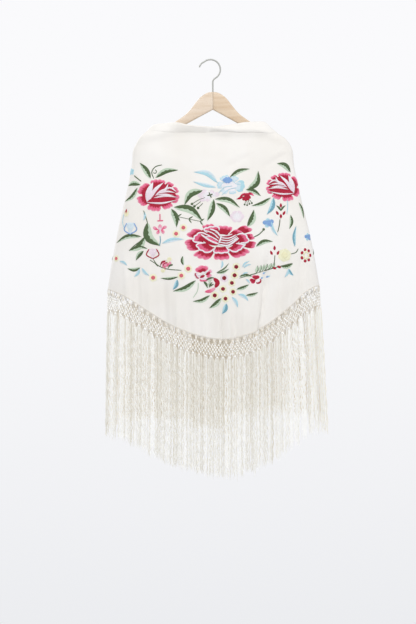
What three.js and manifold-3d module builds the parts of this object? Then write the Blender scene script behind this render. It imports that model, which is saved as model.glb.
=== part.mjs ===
// A fringed flamenco shawl, draped round a wooden coat hanger and hanging from the hanger's hook.
// The shawl is one wide triangle of crepe. The middle of its long edge lies across the front with its point
// hanging down, and its two ends pass over the hanger's arms and cross behind. A knotted net and a long
// fringe hang from the hem all round.
// Millimetres, +Z up, +X to the right as seen from the front, and the front faces -Y.
// The origin is the place inside the hook's top where a rail carries it.
import * as THREE from "three";
import Module from "manifold-3d";
import { mergeVertices } from "three/addons/utils/BufferGeometryUtils.js";

const wasm = await Module();
wasm.setup();

// Cloth
const CLOTH_THICKNESS = 2;
const SEAM_GAP = 0.3;
const SECTION_POWER = 2.5; // 2 is an ellipse, and more is blunter at the sides
const FRONT_COLUMNS = 46;
const FRONT_ROWS = 14;
const WING_COLUMNS = 24;
const WING_ROWS = 9;
const LEFT_WING_END = 9; // degrees past the middle of the back at which a wing ends
const RIGHT_WING_END = 12;
const OUTER_WING_STEP = 9; // how far the outer wing lies behind the inner one where they cross

// Hanger
const HANGER_CENTRE_X = 6;
const HANGER_THICKNESS = 12;
const HANGER_ROUNDING = 4;
const HOOK_WIRE_RADIUS = 2;
const HOOK_BEND_RADIUS = 24.8; // of the wire's centreline
const HOOK_TIP_ANGLE = 166; // degrees, measured from +X
const HOOK_LOWER_ANGLE = -52;
const STEM_BOTTOM_Z = -103;
const STEM_CLEARANCE = 0.35;

// Fringe
const NET_DROP = 45;
const NET_DROP_AT_SIDES = 53;
const NET_THICKNESS = 2;
const FRINGE_DROP = 340; // from the hem to the ends, net included
const FRINGE_DROP_AT_SIDES = 368;
const FRINGE_LEAN = { left: 0.015, right: 0.055 }; // how far it splays at the sides, for its length
const LOCK_PITCH = 15;
const LOCK_HALF_WIDTH = 4.7;
const LOCK_HALF_DEPTH = 2;
const LOCK_ROOT = 3; // how far a lock's root reaches up into the net

const COLOURS = {
  crepe: 0xf1ece4,
  silk: 0xe6e0d3,
  beech: 0xdfc3a0,
  steel: 0xb9bab5,
};

// The drape, one row for each ring of the cloth from the neck edge to the hem: half the ring's width, its
// height at the sides, how much higher than that the right side is (and lower the left), its height in the
// middle of the front, and half its depth.
const RINGS = [
  { reach: 106, sideZ: -155, tilt: 1.5, frontZ: -170, depth: 17 },
  { reach: 130, sideZ: -156.5, tilt: 2, frontZ: -178, depth: 18 },
  { reach: 148, sideZ: -166.5, tilt: -5, frontZ: -187, depth: 20 },
  { reach: 165, sideZ: -182, tilt: -5, frontZ: -199, depth: 22 },
  { reach: 180, sideZ: -195, tilt: -1.5, frontZ: -214, depth: 24 },
  { reach: 191, sideZ: -209, tilt: 0, frontZ: -233, depth: 26 },
  { reach: 199, sideZ: -227, tilt: 0, frontZ: -258, depth: 28 },
  { reach: 202, sideZ: -262, tilt: 0, frontZ: -300, depth: 31 },
  { reach: 212, sideZ: -313, tilt: 0, frontZ: -355, depth: 36 },
  { reach: 225, sideZ: -370, tilt: 0, frontZ: -420, depth: 41 },
  { reach: 239, sideZ: -430, tilt: 0, frontZ: -495, depth: 46 },
  { reach: 252, sideZ: -496, tilt: 0, frontZ: -585, depth: 50 },
  { reach: 264, sideZ: -568, tilt: 0, frontZ: -697, depth: 54 },
];
const HEM = RINGS[RINGS.length - 1];
const HEM_CENTRE_X = 8;

// The hem's height across the front, from the left side (-1) to the right side (1).
const FRONT_HEM = [
  { across: -1, z: -573 },
  { across: -0.83, z: -592 },
  { across: -0.62, z: -627.5 },
  { across: -0.42, z: -659.5 },
  { across: -0.24, z: -680 },
  { across: -0.05, z: -694 },
  { across: 0.09, z: -697 },
  { across: 0.24, z: -692 },
  { across: 0.39, z: -678 },
  { across: 0.52, z: -658 },
  { across: 0.64, z: -634 },
  { across: 0.75, z: -609 },
  { across: 0.83, z: -588 },
  { across: 0.92, z: -571 },
  { across: 1, z: -563 },
];

// Each wing from the side (0) to its free end (1): the hem's height, and how far down the rings its top
// edge has come.
const LEFT_WING = [
  { along: 0, hemZ: -573, topRing: 0 },
  { along: 0.08, hemZ: -569, topRing: 0.06 },
  { along: 0.25, hemZ: -561, topRing: 0.22 },
  { along: 0.5, hemZ: -556, topRing: 0.4 },
  { along: 0.75, hemZ: -564, topRing: 0.55 },
  { along: 0.9, hemZ: -583, topRing: 0.69 },
  { along: 1, hemZ: -606, topRing: 0.88 },
];
const RIGHT_WING = [
  { along: 0, hemZ: -563, topRing: 0 },
  { along: 0.08, hemZ: -558, topRing: 0.06 },
  { along: 0.25, hemZ: -546, topRing: 0.2 },
  { along: 0.5, hemZ: -540, topRing: 0.37 },
  { along: 0.75, hemZ: -548, topRing: 0.52 },
  { along: 0.9, hemZ: -566, topRing: 0.67 },
  { along: 1, hemZ: -586, topRing: 0.88 },
];

// A lock of the fringe from its knot to its end: how far down it is, and its share of the full width and
// depth.
const LOCK_SHAPE = [
  { down: 0, width: 0.45, depth: 0.4 },
  { down: 0.14, width: 0.95, depth: 0.9 },
  { down: 0.45, width: 1, depth: 1 },
  { down: 0.75, width: 0.92, depth: 1 },
  { down: 1, width: 0.8, depth: 0.85 },
];

// Soft upright folds. "at" is the fold's place across the front or back at the hem, "lean" moves it sideways
// towards the top, "rise" is the ring at which it begins, and a negative depth is a trough.
const FRONT_FOLDS = [
  { at: -0.86, lean: 0.02, width: 0.09, depth: 4, rise: 0.35 },
  { at: -0.55, lean: 0.05, width: 0.11, depth: -4, rise: 0.5 },
  { at: -0.3, lean: 0.03, width: 0.12, depth: 4.5, rise: 0.55 },
  { at: 0.07, lean: 0.0, width: 0.06, depth: 5, rise: 0.6 },
  { at: 0.2, lean: 0.01, width: 0.08, depth: -4, rise: 0.55 },
  { at: 0.42, lean: -0.5, width: 0.06, depth: 6.5, rise: 0.7 },
  { at: 0.64, lean: 0.04, width: 0.12, depth: -4.5, rise: 0.45 },
  { at: 0.86, lean: -0.02, width: 0.08, depth: 5, rise: 0.4 },
];
const BACK_FOLDS = [
  { at: -0.84, lean: 0.03, width: 0.08, depth: 6, rise: 0.2 },
  { at: -0.66, lean: 0.05, width: 0.08, depth: -6, rise: 0.3 },
  { at: -0.47, lean: 0.08, width: 0.09, depth: 7, rise: 0.35 },
  { at: -0.26, lean: 0.06, width: 0.08, depth: -5, rise: 0.4 },
  { at: 0.3, lean: -0.06, width: 0.09, depth: -5, rise: 0.35 },
  { at: 0.5, lean: -0.08, width: 0.09, depth: 7, rise: 0.3 },
  { at: 0.7, lean: -0.04, width: 0.08, depth: -6, rise: 0.25 },
  { at: 0.86, lean: -0.02, width: 0.07, depth: 6, rise: 0.2 },
];

// The turned-down top edge, whose free edge hangs level across the front.
const TURNED_EDGE = { reachAcross: 0.93, lowerZ: -182, columns: 30, rows: 3, swell: 2.2 };

// Half of the hanger's outline, seen from the front: distance from its middle, and height.
const HANGER_TOP = [
  [0, -79],
  [12, -80.5],
  [22, -85.5],
  [33, -94],
  [41, -103.5],
  [49, -114],
  [58, -125],
  [67, -134.5],
  [79, -143.5],
  [93, -153],
  [106, -160.5],
  [128, -170],
  [150, -180.5],
  [168, -193],
  [180, -202.5],
  [188, -210.5],
];
const HANGER_TIP = [
  [191.1, -216.5],
  [188.5, -222.5],
  [181, -224.5],
];
const HANGER_UNDERSIDE = [
  [168, -217.5],
  [140, -200.5],
  [100, -178.5],
  [57, -154.5],
  [0, -123.5],
];

// Small helpers
const radians = THREE.MathUtils.degToRad;
const lerp = THREE.MathUtils.lerp;
const smooth = THREE.MathUtils.smoothstep;

// A value from a short table, on a smooth curve through its rows.
function fromTable(table, key, value, x) {
  const last = table.length - 1;
  let i = 0;
  while (i < last - 1 && x > table[i + 1][key]) i += 1;
  const row = (n) => table[Math.min(last, Math.max(0, n))];
  const slope = (n) => {
    const before = row(n - 1);
    const after = row(n + 1);
    return (after[value] - before[value]) / (after[key] - before[key]);
  };
  const span = row(i + 1)[key] - row(i)[key];
  const t = THREE.MathUtils.clamp((x - row(i)[key]) / span, 0, 1);
  const t2 = t * t;
  const t3 = t2 * t;
  return (
    (2 * t3 - 3 * t2 + 1) * row(i)[value] +
    (t3 - 2 * t2 + t) * span * slope(i) +
    (3 * t2 - 2 * t3) * row(i + 1)[value] +
    (t3 - t2) * span * slope(i + 1)
  );
}

const RING_TABLE = RINGS.map((ring, i) => ({ v: i / (RINGS.length - 1), ...ring }));

function ringValue(name, v) {
  return fromTable(RING_TABLE, "v", name, v);
}

// The same numbers in the same order each time, from -1 to 1.
function steadyRandom(seed) {
  let state = seed;
  return () => {
    state = (state * 16807) % 2147483647;
    return (state / 2147483647) * 2 - 1;
  };
}

function foldDepth(folds, across, v) {
  let depth = 0;
  for (const fold of folds) {
    const centre = fold.at - fold.lean * (1 - v);
    const away = (across - centre) / fold.width;
    depth += fold.depth * Math.exp(-away * away) * smooth(v, fold.rise, 1);
  }
  return depth;
}

// How far a wing has run from the side to its free end.
function alongWing(angle) {
  const end = angle < 0 ? LEFT_WING_END : RIGHT_WING_END;
  return (Math.abs(angle) - 90) / (90 + end);
}

// A point of the cloth's middle surface. The angle runs round the wearer's place: 0 is the middle of the
// front, -90 the left side and 90 the right. v runs down the rings, from 0 at the neck to 1 at the hem.
function clothPoint(angle, v) {
  const across = Math.sin(radians(angle));
  const inward = (1 - Math.abs(across) ** SECTION_POWER) ** (1 / SECTION_POWER);
  const sideZ = ringValue("sideZ", v) + ringValue("tilt", v) * across;
  const frontDrop = ringValue("frontZ", v) - sideZ;
  const hemDrop = HEM.frontZ - HEM.sideZ;
  const towardsHem = v ** 1.3;
  const depth = ringValue("depth", v);
  const x = lerp(HANGER_CENTRE_X, HEM_CENTRE_X, smooth(v, 0.5, 1)) + ringValue("reach", v) * across;
  if (Math.abs(angle) <= 90) {
    const hemShare = (fromTable(FRONT_HEM, "across", "z", across) - HEM.sideZ) / hemDrop;
    const share = lerp(1 - Math.sqrt(across * across + 0.004), hemShare, towardsHem);
    const y = -(depth + foldDepth(FRONT_FOLDS, across, v)) * inward;
    return new THREE.Vector3(x, y, sideZ + frontDrop * share);
  }
  const wing = angle < 0 ? LEFT_WING : RIGHT_WING;
  const along = alongWing(angle);
  const drop = fromTable(wing, "along", "hemZ", along) - HEM.sideZ;
  const outer = angle > 0 ? OUTER_WING_STEP * smooth(along, 0.35, 0.75) : 0;
  const y = (depth + outer + foldDepth(BACK_FOLDS, across, v)) * inward;
  return new THREE.Vector3(x, y, sideZ + drop * towardsHem * (frontDrop / hemDrop));
}

function clothNormal(angle, v) {
  const turn = 0.05;
  const step = 0.002;
  const inFront = Math.abs(angle) <= 90;
  const low = inFront ? Math.max(-90, angle - turn) : angle - turn;
  const high = inFront ? Math.min(90, angle + turn) : angle + turn;
  const round = clothPoint(high, v).sub(clothPoint(low, v));
  const down = clothPoint(angle, Math.min(1, v + step)).sub(clothPoint(angle, Math.max(0, v - step)));
  return down.cross(round).normalize();
}

// The angle that keeps half a seam's gap clear of the side line, where two pieces of the cloth meet.
function seamAngle(v) {
  const halfGap = SEAM_GAP * 0.55;
  return THREE.MathUtils.radToDeg((halfGap / (1.09 * ringValue("depth", v))) ** 1.25);
}

// A closed wall from a grid of points: place(column, row) gives its middle point and its outward normal.
function closedWall(columns, rows, thickness, place) {
  const outer = [];
  const inner = [];
  for (let i = 0; i <= columns; i += 1) {
    for (let j = 0; j <= rows; j += 1) {
      const { point, normal } = place(i / columns, j / rows);
      outer.push(point.clone().addScaledVector(normal, thickness / 2));
      inner.push(point.clone().addScaledVector(normal, -thickness / 2));
    }
  }
  const out = (i, j) => i * (rows + 1) + j;
  const into = (i, j) => outer.length + i * (rows + 1) + j;
  const faces = [];
  const quad = (a, b, c, d) => faces.push(a, b, c, a, c, d);
  for (let i = 0; i < columns; i += 1) {
    for (let j = 0; j < rows; j += 1) {
      quad(out(i, j), out(i, j + 1), out(i + 1, j + 1), out(i + 1, j));
      quad(into(i, j), into(i + 1, j), into(i + 1, j + 1), into(i, j + 1));
    }
    quad(out(i, 0), out(i + 1, 0), into(i + 1, 0), into(i, 0));
    quad(out(i + 1, rows), out(i, rows), into(i, rows), into(i + 1, rows));
  }
  for (let j = 0; j < rows; j += 1) {
    quad(out(0, j + 1), out(0, j), into(0, j), into(0, j + 1));
    quad(out(columns, j), out(columns, j + 1), into(columns, j + 1), into(columns, j));
  }
  const positions = [...outer, ...inner].flatMap((p) => [p.x, p.y, p.z]);
  const geometry = new THREE.BufferGeometry();
  geometry.setAttribute("position", new THREE.Float32BufferAttribute(positions, 3));
  geometry.setIndex(faces);
  return geometry;
}

// The three stretches of the cloth, each with the range of angle that it covers.
const STRETCHES = {
  front: {
    columns: FRONT_COLUMNS,
    angle: (share, v) => lerp(-90 + seamAngle(v), 90 - seamAngle(v), share),
    topRing: () => 0,
  },
  left: {
    columns: WING_COLUMNS,
    angle: (share, v) => lerp(-180 - LEFT_WING_END, -90 - seamAngle(v), share),
    topRing: (angle) => fromTable(LEFT_WING, "along", "topRing", alongWing(angle)),
  },
  right: {
    columns: WING_COLUMNS,
    angle: (share, v) => lerp(90 + seamAngle(v), 180 + RIGHT_WING_END, share),
    topRing: (angle) => fromTable(RIGHT_WING, "along", "topRing", alongWing(angle)),
  },
};

// Rows lie closer together near the neck, where the cloth turns over the shoulders.
function clothPiece(stretch, rows) {
  return closedWall(stretch.columns, rows, CLOTH_THICKNESS, (share, down) => {
    const top = stretch.topRing(stretch.angle(share, 0.5));
    const v = lerp(top, 1, down ** 1.15);
    const angle = stretch.angle(share, v);
    return { point: clothPoint(angle, v), normal: clothNormal(angle, v) };
  });
}

// The ring at which the front comes down to a height.
function ringAtHeight(angle, z) {
  let low = 0;
  let high = 1;
  for (let i = 0; i < 30; i += 1) {
    const middle = (low + high) / 2;
    if (clothPoint(angle, middle).z > z) low = middle;
    else high = middle;
  }
  return low;
}

function turnedEdge() {
  const endAngle = THREE.MathUtils.radToDeg(Math.asin(TURNED_EDGE.reachAcross));
  return closedWall(TURNED_EDGE.columns, TURNED_EDGE.rows, CLOTH_THICKNESS, (share, down) => {
    const angle = lerp(-endAngle, endAngle, share);
    const v = ringAtHeight(angle, TURNED_EDGE.lowerZ) * down;
    const normal = clothNormal(angle, v);
    const away = CLOTH_THICKNESS + SEAM_GAP + TURNED_EDGE.swell * Math.sin(Math.PI * down);
    return { point: clothPoint(angle, v).addScaledVector(normal, away), normal };
  });
}

function toSolid(geometry) {
  const bare = geometry.clone();
  bare.deleteAttribute("normal");
  bare.deleteAttribute("uv");
  const merged = mergeVertices(bare, 1e-4);
  return new wasm.Manifold(
    new wasm.Mesh({
      numProp: 3,
      vertProperties: new Float32Array(merged.attributes.position.array),
      triVerts: new Uint32Array(merged.index.array),
    }),
  );
}

function toGeometry(solid) {
  const mesh = solid.getMesh();
  const geometry = new THREE.BufferGeometry();
  geometry.setAttribute("position", new THREE.BufferAttribute(mesh.vertProperties, mesh.numProp));
  geometry.setIndex(new THREE.BufferAttribute(mesh.triVerts, 1));
  return geometry;
}

// A place in the fringe, so far straight down from the hem, where 0 is the hem.
function fringePoint(angle, drop) {
  const across = Math.sin(radians(angle));
  const lean = across < 0 ? FRINGE_LEAN.left : FRINGE_LEAN.right;
  return clothPoint(angle, 1).add(new THREE.Vector3(lean * across ** 3 * drop, 0, -drop));
}

// Net and fringe are deeper towards the sides of the front, and settle again along the wings.
function nearSides(angle) {
  return Math.abs(angle) <= 90 ? Math.sin(radians(angle)) ** 2 : (1 - alongWing(angle)) ** 3;
}

function outwardAtHem(angle) {
  const round = clothPoint(angle + 0.2, 1).sub(clothPoint(angle - 0.2, 1)).setZ(0).normalize();
  return new THREE.Vector3(round.y, -round.x, 0);
}

// One lock: a flat four-sided rod, narrow at its knot, that sways a little on its way down.
function lock(angle, netDrop, length, sway) {
  const outward = outwardAtHem(angle);
  const along = new THREE.Vector3(-outward.y, outward.x, 0);
  const positions = [];
  const corner = (middle, side, offset) => positions.push(...middle.clone().addScaledVector(side, offset));
  for (const { down, width, depth } of LOCK_SHAPE) {
    const middle = fringePoint(angle, netDrop - LOCK_ROOT + length * down)
      .addScaledVector(along, sway.along * Math.sin(down * Math.PI * 1.5))
      .addScaledVector(outward, sway.outward * Math.sin(down * Math.PI));
    corner(middle, along, LOCK_HALF_WIDTH * width);
    corner(middle, outward, -LOCK_HALF_DEPTH * depth);
    corner(middle, along, -LOCK_HALF_WIDTH * width);
    corner(middle, outward, LOCK_HALF_DEPTH * depth);
  }
  const faces = [0, 1, 2, 0, 2, 3];
  const segments = LOCK_SHAPE.length - 1;
  for (let i = 0; i < segments; i += 1) {
    for (let k = 0; k < 4; k += 1) {
      const a = i * 4 + k;
      const b = i * 4 + ((k + 1) % 4);
      faces.push(a, a + 4, b, b, a + 4, b + 4);
    }
  }
  const end = segments * 4;
  faces.push(end, end + 2, end + 1, end, end + 3, end + 2);
  const geometry = new THREE.BufferGeometry();
  geometry.setAttribute("position", new THREE.Float32BufferAttribute(positions, 3));
  geometry.setIndex(faces);
  return toSolid(geometry);
}

// Angles at equal steps along the hem as seen from above, the first and last half a step from its ends.
function lockAngles(stretch) {
  const fine = 500;
  const angles = [];
  const travelled = [0];
  for (let i = 0; i <= fine; i += 1) angles.push(stretch.angle(i / fine, 1));
  for (let i = 1; i <= fine; i += 1) {
    const step = clothPoint(angles[i], 1).sub(clothPoint(angles[i - 1], 1)).setZ(0).length();
    travelled.push(travelled[i - 1] + step);
  }
  const count = Math.round(travelled[fine] / LOCK_PITCH);
  const places = [];
  for (let n = 0; n < count; n += 1) {
    const wanted = ((n + 0.5) / count) * travelled[fine];
    places.push(angles[travelled.findIndex((distance) => distance >= wanted)]);
  }
  return places;
}

function fringePiece(stretch, seed) {
  const random = steadyRandom(seed);
  const netDrop = (angle) => lerp(NET_DROP, NET_DROP_AT_SIDES, nearSides(angle));
  const net = closedWall(stretch.columns, 1, NET_THICKNESS, (share, down) => {
    const angle = stretch.angle(share, 1);
    const point = fringePoint(angle, lerp(2 * SEAM_GAP, netDrop(angle), down));
    return { point, normal: outwardAtHem(angle) };
  });
  const parts = [toSolid(net)];
  for (const angle of lockAngles(stretch)) {
    const drop = lerp(FRINGE_DROP, FRINGE_DROP_AT_SIDES, nearSides(angle));
    const length = drop - netDrop(angle) + LOCK_ROOT + 7 * random();
    const sway = { along: 1.2 * random(), outward: 1.5 * random() };
    parts.push(lock(angle, netDrop(angle), length, sway));
  }
  return toGeometry(wasm.Manifold.union(parts));
}

// The wooden yoke, in one outline; it is sawn in half at its middle, where the two arms are joined.
function hangerYoke() {
  const right = [...HANGER_TOP, ...HANGER_TIP, ...HANGER_UNDERSIDE];
  const left = right.slice(1, -1).reverse().map(([x, z]) => [-x, z]);
  const outline = [...right, ...left].map(([x, z]) => new THREE.Vector2(x + HANGER_CENTRE_X, z));
  const geometry = new THREE.ExtrudeGeometry(new THREE.Shape(outline), {
    depth: HANGER_THICKNESS - 2 * HANGER_ROUNDING,
    bevelEnabled: true,
    bevelThickness: HANGER_ROUNDING,
    bevelSize: HANGER_ROUNDING,
    bevelOffset: -HANGER_ROUNDING,
    bevelSegments: 2,
    steps: 1,
  });
  geometry.rotateX(Math.PI / 2);
  geometry.translate(0, HANGER_THICKNESS / 2 - HANGER_ROUNDING, 0);
  return toSolid(geometry);
}

function hangerArm(side, yoke) {
  const reach = 600;
  const keep = new THREE.BoxGeometry(reach, reach, reach);
  keep.translate(HANGER_CENTRE_X + side * (reach / 2 + SEAM_GAP / 2), 0, 0);
  const bore = new THREE.CylinderGeometry(
    HOOK_WIRE_RADIUS + STEM_CLEARANCE,
    HOOK_WIRE_RADIUS + STEM_CLEARANCE,
    2 * (-STEM_BOTTOM_Z - 60),
    12,
  );
  bore.rotateX(Math.PI / 2);
  bore.translate(HANGER_CENTRE_X, 0, -60 - STEM_CLEARANCE);
  return toGeometry(yoke.intersect(toSolid(keep)).subtract(toSolid(bore)));
}

// The hook's wire: round from its tip over the top, then bent back in to the stem.
function hookPath() {
  const centreZ = HOOK_WIRE_RADIUS - HOOK_BEND_RADIUS;
  const points = [];
  const turns = 14;
  for (let i = 0; i <= turns; i += 1) {
    const angle = radians(lerp(HOOK_TIP_ANGLE, HOOK_LOWER_ANGLE, i / turns));
    const x = HOOK_BEND_RADIUS * Math.cos(angle);
    points.push(new THREE.Vector3(x, 0, centreZ + HOOK_BEND_RADIUS * Math.sin(angle)));
  }
  points.push(new THREE.Vector3(HANGER_CENTRE_X + 2.6, 0, -47.5));
  points.push(new THREE.Vector3(HANGER_CENTRE_X + 0.3, 0, -52));
  points.push(new THREE.Vector3(HANGER_CENTRE_X, 0, -58));
  points.push(new THREE.Vector3(HANGER_CENTRE_X, 0, -78));
  points.push(new THREE.Vector3(HANGER_CENTRE_X, 0, STEM_BOTTOM_Z));
  return new THREE.CatmullRomCurve3(points, false, "centripetal");
}

function hook() {
  const section = new THREE.Shape();
  const sides = 8;
  for (let i = 0; i < sides; i += 1) {
    const angle = (i / sides) * 2 * Math.PI;
    const x = HOOK_WIRE_RADIUS * Math.cos(angle);
    const y = HOOK_WIRE_RADIUS * Math.sin(angle);
    if (i === 0) section.moveTo(x, y);
    else section.lineTo(x, y);
  }
  section.closePath();
  return new THREE.ExtrudeGeometry(section, {
    steps: 36,
    bevelEnabled: false,
    curveSegments: 1,
    extrudePath: hookPath(),
  });
}

function material(color, roughness, metalness = 0) {
  return new THREE.MeshStandardMaterial({ color, roughness, metalness });
}

const crepe = material(COLOURS.crepe, 0.75);
const silk = material(COLOURS.silk, 0.45);
const beech = material(COLOURS.beech, 0.55);
const steel = material(COLOURS.steel, 0.3, 1);

const shawlOnHanger = new THREE.Group();

function add(name, geometry, finish) {
  const mesh = new THREE.Mesh(geometry, finish);
  mesh.name = name;
  shawlOnHanger.add(mesh);
}

const yoke = hangerYoke();
add("hook", hook(), steel);
add("hanger_arm_left", hangerArm(-1, yoke), beech);
add("hanger_arm_right", hangerArm(1, yoke), beech);
add("shawl_front", clothPiece(STRETCHES.front, FRONT_ROWS), crepe);
add("shawl_wing_left", clothPiece(STRETCHES.left, WING_ROWS), crepe);
add("shawl_wing_right", clothPiece(STRETCHES.right, WING_ROWS), crepe);
add("turned_top_edge", turnedEdge(), crepe);
add("fringe_front", fringePiece(STRETCHES.front, 11), silk);
add("fringe_wing_left", fringePiece(STRETCHES.left, 23), silk);
add("fringe_wing_right", fringePiece(STRETCHES.right, 37), silk);

export default shawlOnHanger;
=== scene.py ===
# %% [markdown]
# # A fringed flamenco shawl on its hanger
# The object is a small triangular shawl of ivory crepe, embroidered with peonies and trailing flowers.
# It lies across a wooden hanger: the middle of the long edge is turned down at the front, and the two ends
# go back over the arms and cross behind. A knotted net and a long silk fringe hang from the hem.
# The frame comes first. It is the plain solid model, and each piece made here takes its place from it.

# %% Load the frame
import math

import bmesh
import bpy
import numpy as np
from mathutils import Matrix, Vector


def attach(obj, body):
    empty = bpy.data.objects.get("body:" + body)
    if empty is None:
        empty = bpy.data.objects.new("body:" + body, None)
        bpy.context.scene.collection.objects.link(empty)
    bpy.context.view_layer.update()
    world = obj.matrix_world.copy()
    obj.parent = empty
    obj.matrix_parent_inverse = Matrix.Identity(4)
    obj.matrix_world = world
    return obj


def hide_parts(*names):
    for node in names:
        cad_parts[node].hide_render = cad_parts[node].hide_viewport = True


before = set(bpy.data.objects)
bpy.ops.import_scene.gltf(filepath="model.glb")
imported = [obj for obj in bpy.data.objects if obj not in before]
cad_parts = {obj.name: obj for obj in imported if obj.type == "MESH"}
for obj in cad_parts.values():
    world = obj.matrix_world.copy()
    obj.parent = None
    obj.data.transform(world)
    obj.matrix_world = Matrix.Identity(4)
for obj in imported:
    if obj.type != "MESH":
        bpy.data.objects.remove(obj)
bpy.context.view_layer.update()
MM = 0.001

# %% [markdown]
# ## The drape
# Everything soft lies on one surface, so the surface is written once, as a function. A point on it has two
# numbers: an angle round the hanger (0 in the middle of the front, -90 at the left side, 90 at the right,
# and on to the middle of the back), and a share of the way down from the neck edge (0) to the hem (1).
# Short tables give the rings of the cloth, its hem and its folds. They are the solid model's own sizes in
# millimetres, so the cloth made here lies in the same place.

# %% Sizes of the drape
SECTION_POWER = 2.5  # 2 is an ellipse, and more is blunter at the sides
LEFT_END, RIGHT_END = -189.0, 192.0  # angles at which the two wings end, behind
OUTER_WING_STEP = 9.0  # how far the right wing stands outside the left one, where they cross behind
HANGER_X, HEM_X = 6.0, 8.0  # the middle of the hanger and of the hem, right of the hook
SIDE_TURN = 0.004  # how gently the neck line turns over at the sides
HEM_ONSET = 1.3  # how late, on the way down, the rings take the slant of the hem

rings = np.array([  # half width, height at the sides, the right side's rise, height in mid-front, half depth
    (106, -155, 1.5, -170, 17),
    (130, -156.5, 2, -178, 18),
    (148, -166.5, -5, -187, 20),
    (165, -182, -5, -199, 22),
    (180, -195, -1.5, -214, 24),
    (191, -209, 0, -233, 26),
    (199, -227, 0, -258, 28),
    (202, -262, 0, -300, 31),
    (212, -313, 0, -355, 36),
    (225, -370, 0, -420, 41),
    (239, -430, 0, -495, 46),
    (252, -496, 0, -585, 50),
    (264, -568, 0, -697, 54),
])
front_hem = np.array([  # place across the front, height of the hem
    (-1, -573), (-0.83, -592), (-0.62, -627.5), (-0.42, -659.5), (-0.24, -680), (-0.05, -694),
    (0.09, -697), (0.24, -692), (0.39, -678), (0.52, -658), (0.64, -634), (0.75, -609),
    (0.83, -588), (0.92, -571), (1, -563),
])
left_wing = np.array([  # way along the wing, height of the hem, how far down its top edge has come
    (0, -573, 0), (0.08, -569, 0.06), (0.25, -561, 0.22), (0.5, -556, 0.4),
    (0.75, -564, 0.55), (0.9, -583, 0.69), (1, -606, 0.88),
])
right_wing = np.array([
    (0, -563, 0), (0.08, -558, 0.06), (0.25, -546, 0.2), (0.5, -540, 0.37),
    (0.75, -548, 0.52), (0.9, -566, 0.67), (1, -586, 0.88),
])
front_folds = np.array([  # place at the hem, lean, width, depth, way down at which it starts
    (-0.86, 0.02, 0.09, 4, 0.35),
    (-0.55, 0.05, 0.11, -4, 0.5),
    (-0.3, 0.03, 0.12, 4.5, 0.55),
    (0.07, 0, 0.06, 5, 0.6),
    (0.2, 0.01, 0.08, -4, 0.55),
    (0.42, -0.5, 0.06, 6.5, 0.7),
    (0.64, 0.04, 0.12, -4.5, 0.45),
    (0.86, -0.02, 0.08, 5, 0.4),
])
back_folds = np.array([
    (-0.84, 0.03, 0.08, 6, 0.2),
    (-0.66, 0.05, 0.08, -6, 0.3),
    (-0.47, 0.08, 0.09, 7, 0.35),
    (-0.26, 0.06, 0.08, -5, 0.4),
    (0.3, -0.06, 0.09, -5, 0.35),
    (0.5, -0.08, 0.09, 7, 0.3),
    (0.7, -0.04, 0.08, -6, 0.25),
    (0.86, -0.02, 0.07, 6, 0.2),
])
print("drape:", len(rings), "rings,", len(front_folds) + len(back_folds), "folds")


# %% The drape as a function
def smooth_curve(xs, ys, x):
    """Values on a smooth curve through a table's rows."""
    slopes = np.empty(len(ys))
    slopes[0] = (ys[1] - ys[0]) / (xs[1] - xs[0])
    slopes[-1] = (ys[-1] - ys[-2]) / (xs[-1] - xs[-2])
    slopes[1:-1] = (ys[2:] - ys[:-2]) / (xs[2:] - xs[:-2])
    i = np.clip(np.searchsorted(xs, x, side="right") - 1, 0, len(xs) - 2)
    span = xs[i + 1] - xs[i]
    t = np.clip((x - xs[i]) / span, 0, 1)
    return (
        (2 * t**3 - 3 * t**2 + 1) * ys[i]
        + (t**3 - 2 * t**2 + t) * span * slopes[i]
        + (3 * t**2 - 2 * t**3) * ys[i + 1]
        + (t**3 - t**2) * span * slopes[i + 1]
    )


def smoothstep(x, low, high):
    """A share that goes softly from 0 at low to 1 at high."""
    t = np.clip((x - low) / (high - low), 0, 1)
    return t * t * (3 - 2 * t)


def lerp(a, b, t):
    """A value between a and b, by a share t."""
    return a + (b - a) * t


def fold_depth(folds, across, v):
    """How far the folds of a table stand out."""
    depth = np.zeros_like(across)
    for place, lean, width, deep, rise in folds:
        away = (across - place + lean * (1 - v)) / width
        depth += deep * np.exp(-away * away) * smoothstep(v, rise, 1)
    return depth


ring_v = np.linspace(0, 1, len(rings))
HEM_SIDE, HEM_FRONT = rings[-1, 1], rings[-1, 3]


def along_wing(angle):
    """The way along a wing, from 0 at the side to 1 at its end behind."""
    end = np.where(angle < 0, -LEFT_END, RIGHT_END)
    return np.clip((np.abs(angle) - 90) / (end - 90), 0, 1)


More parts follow.
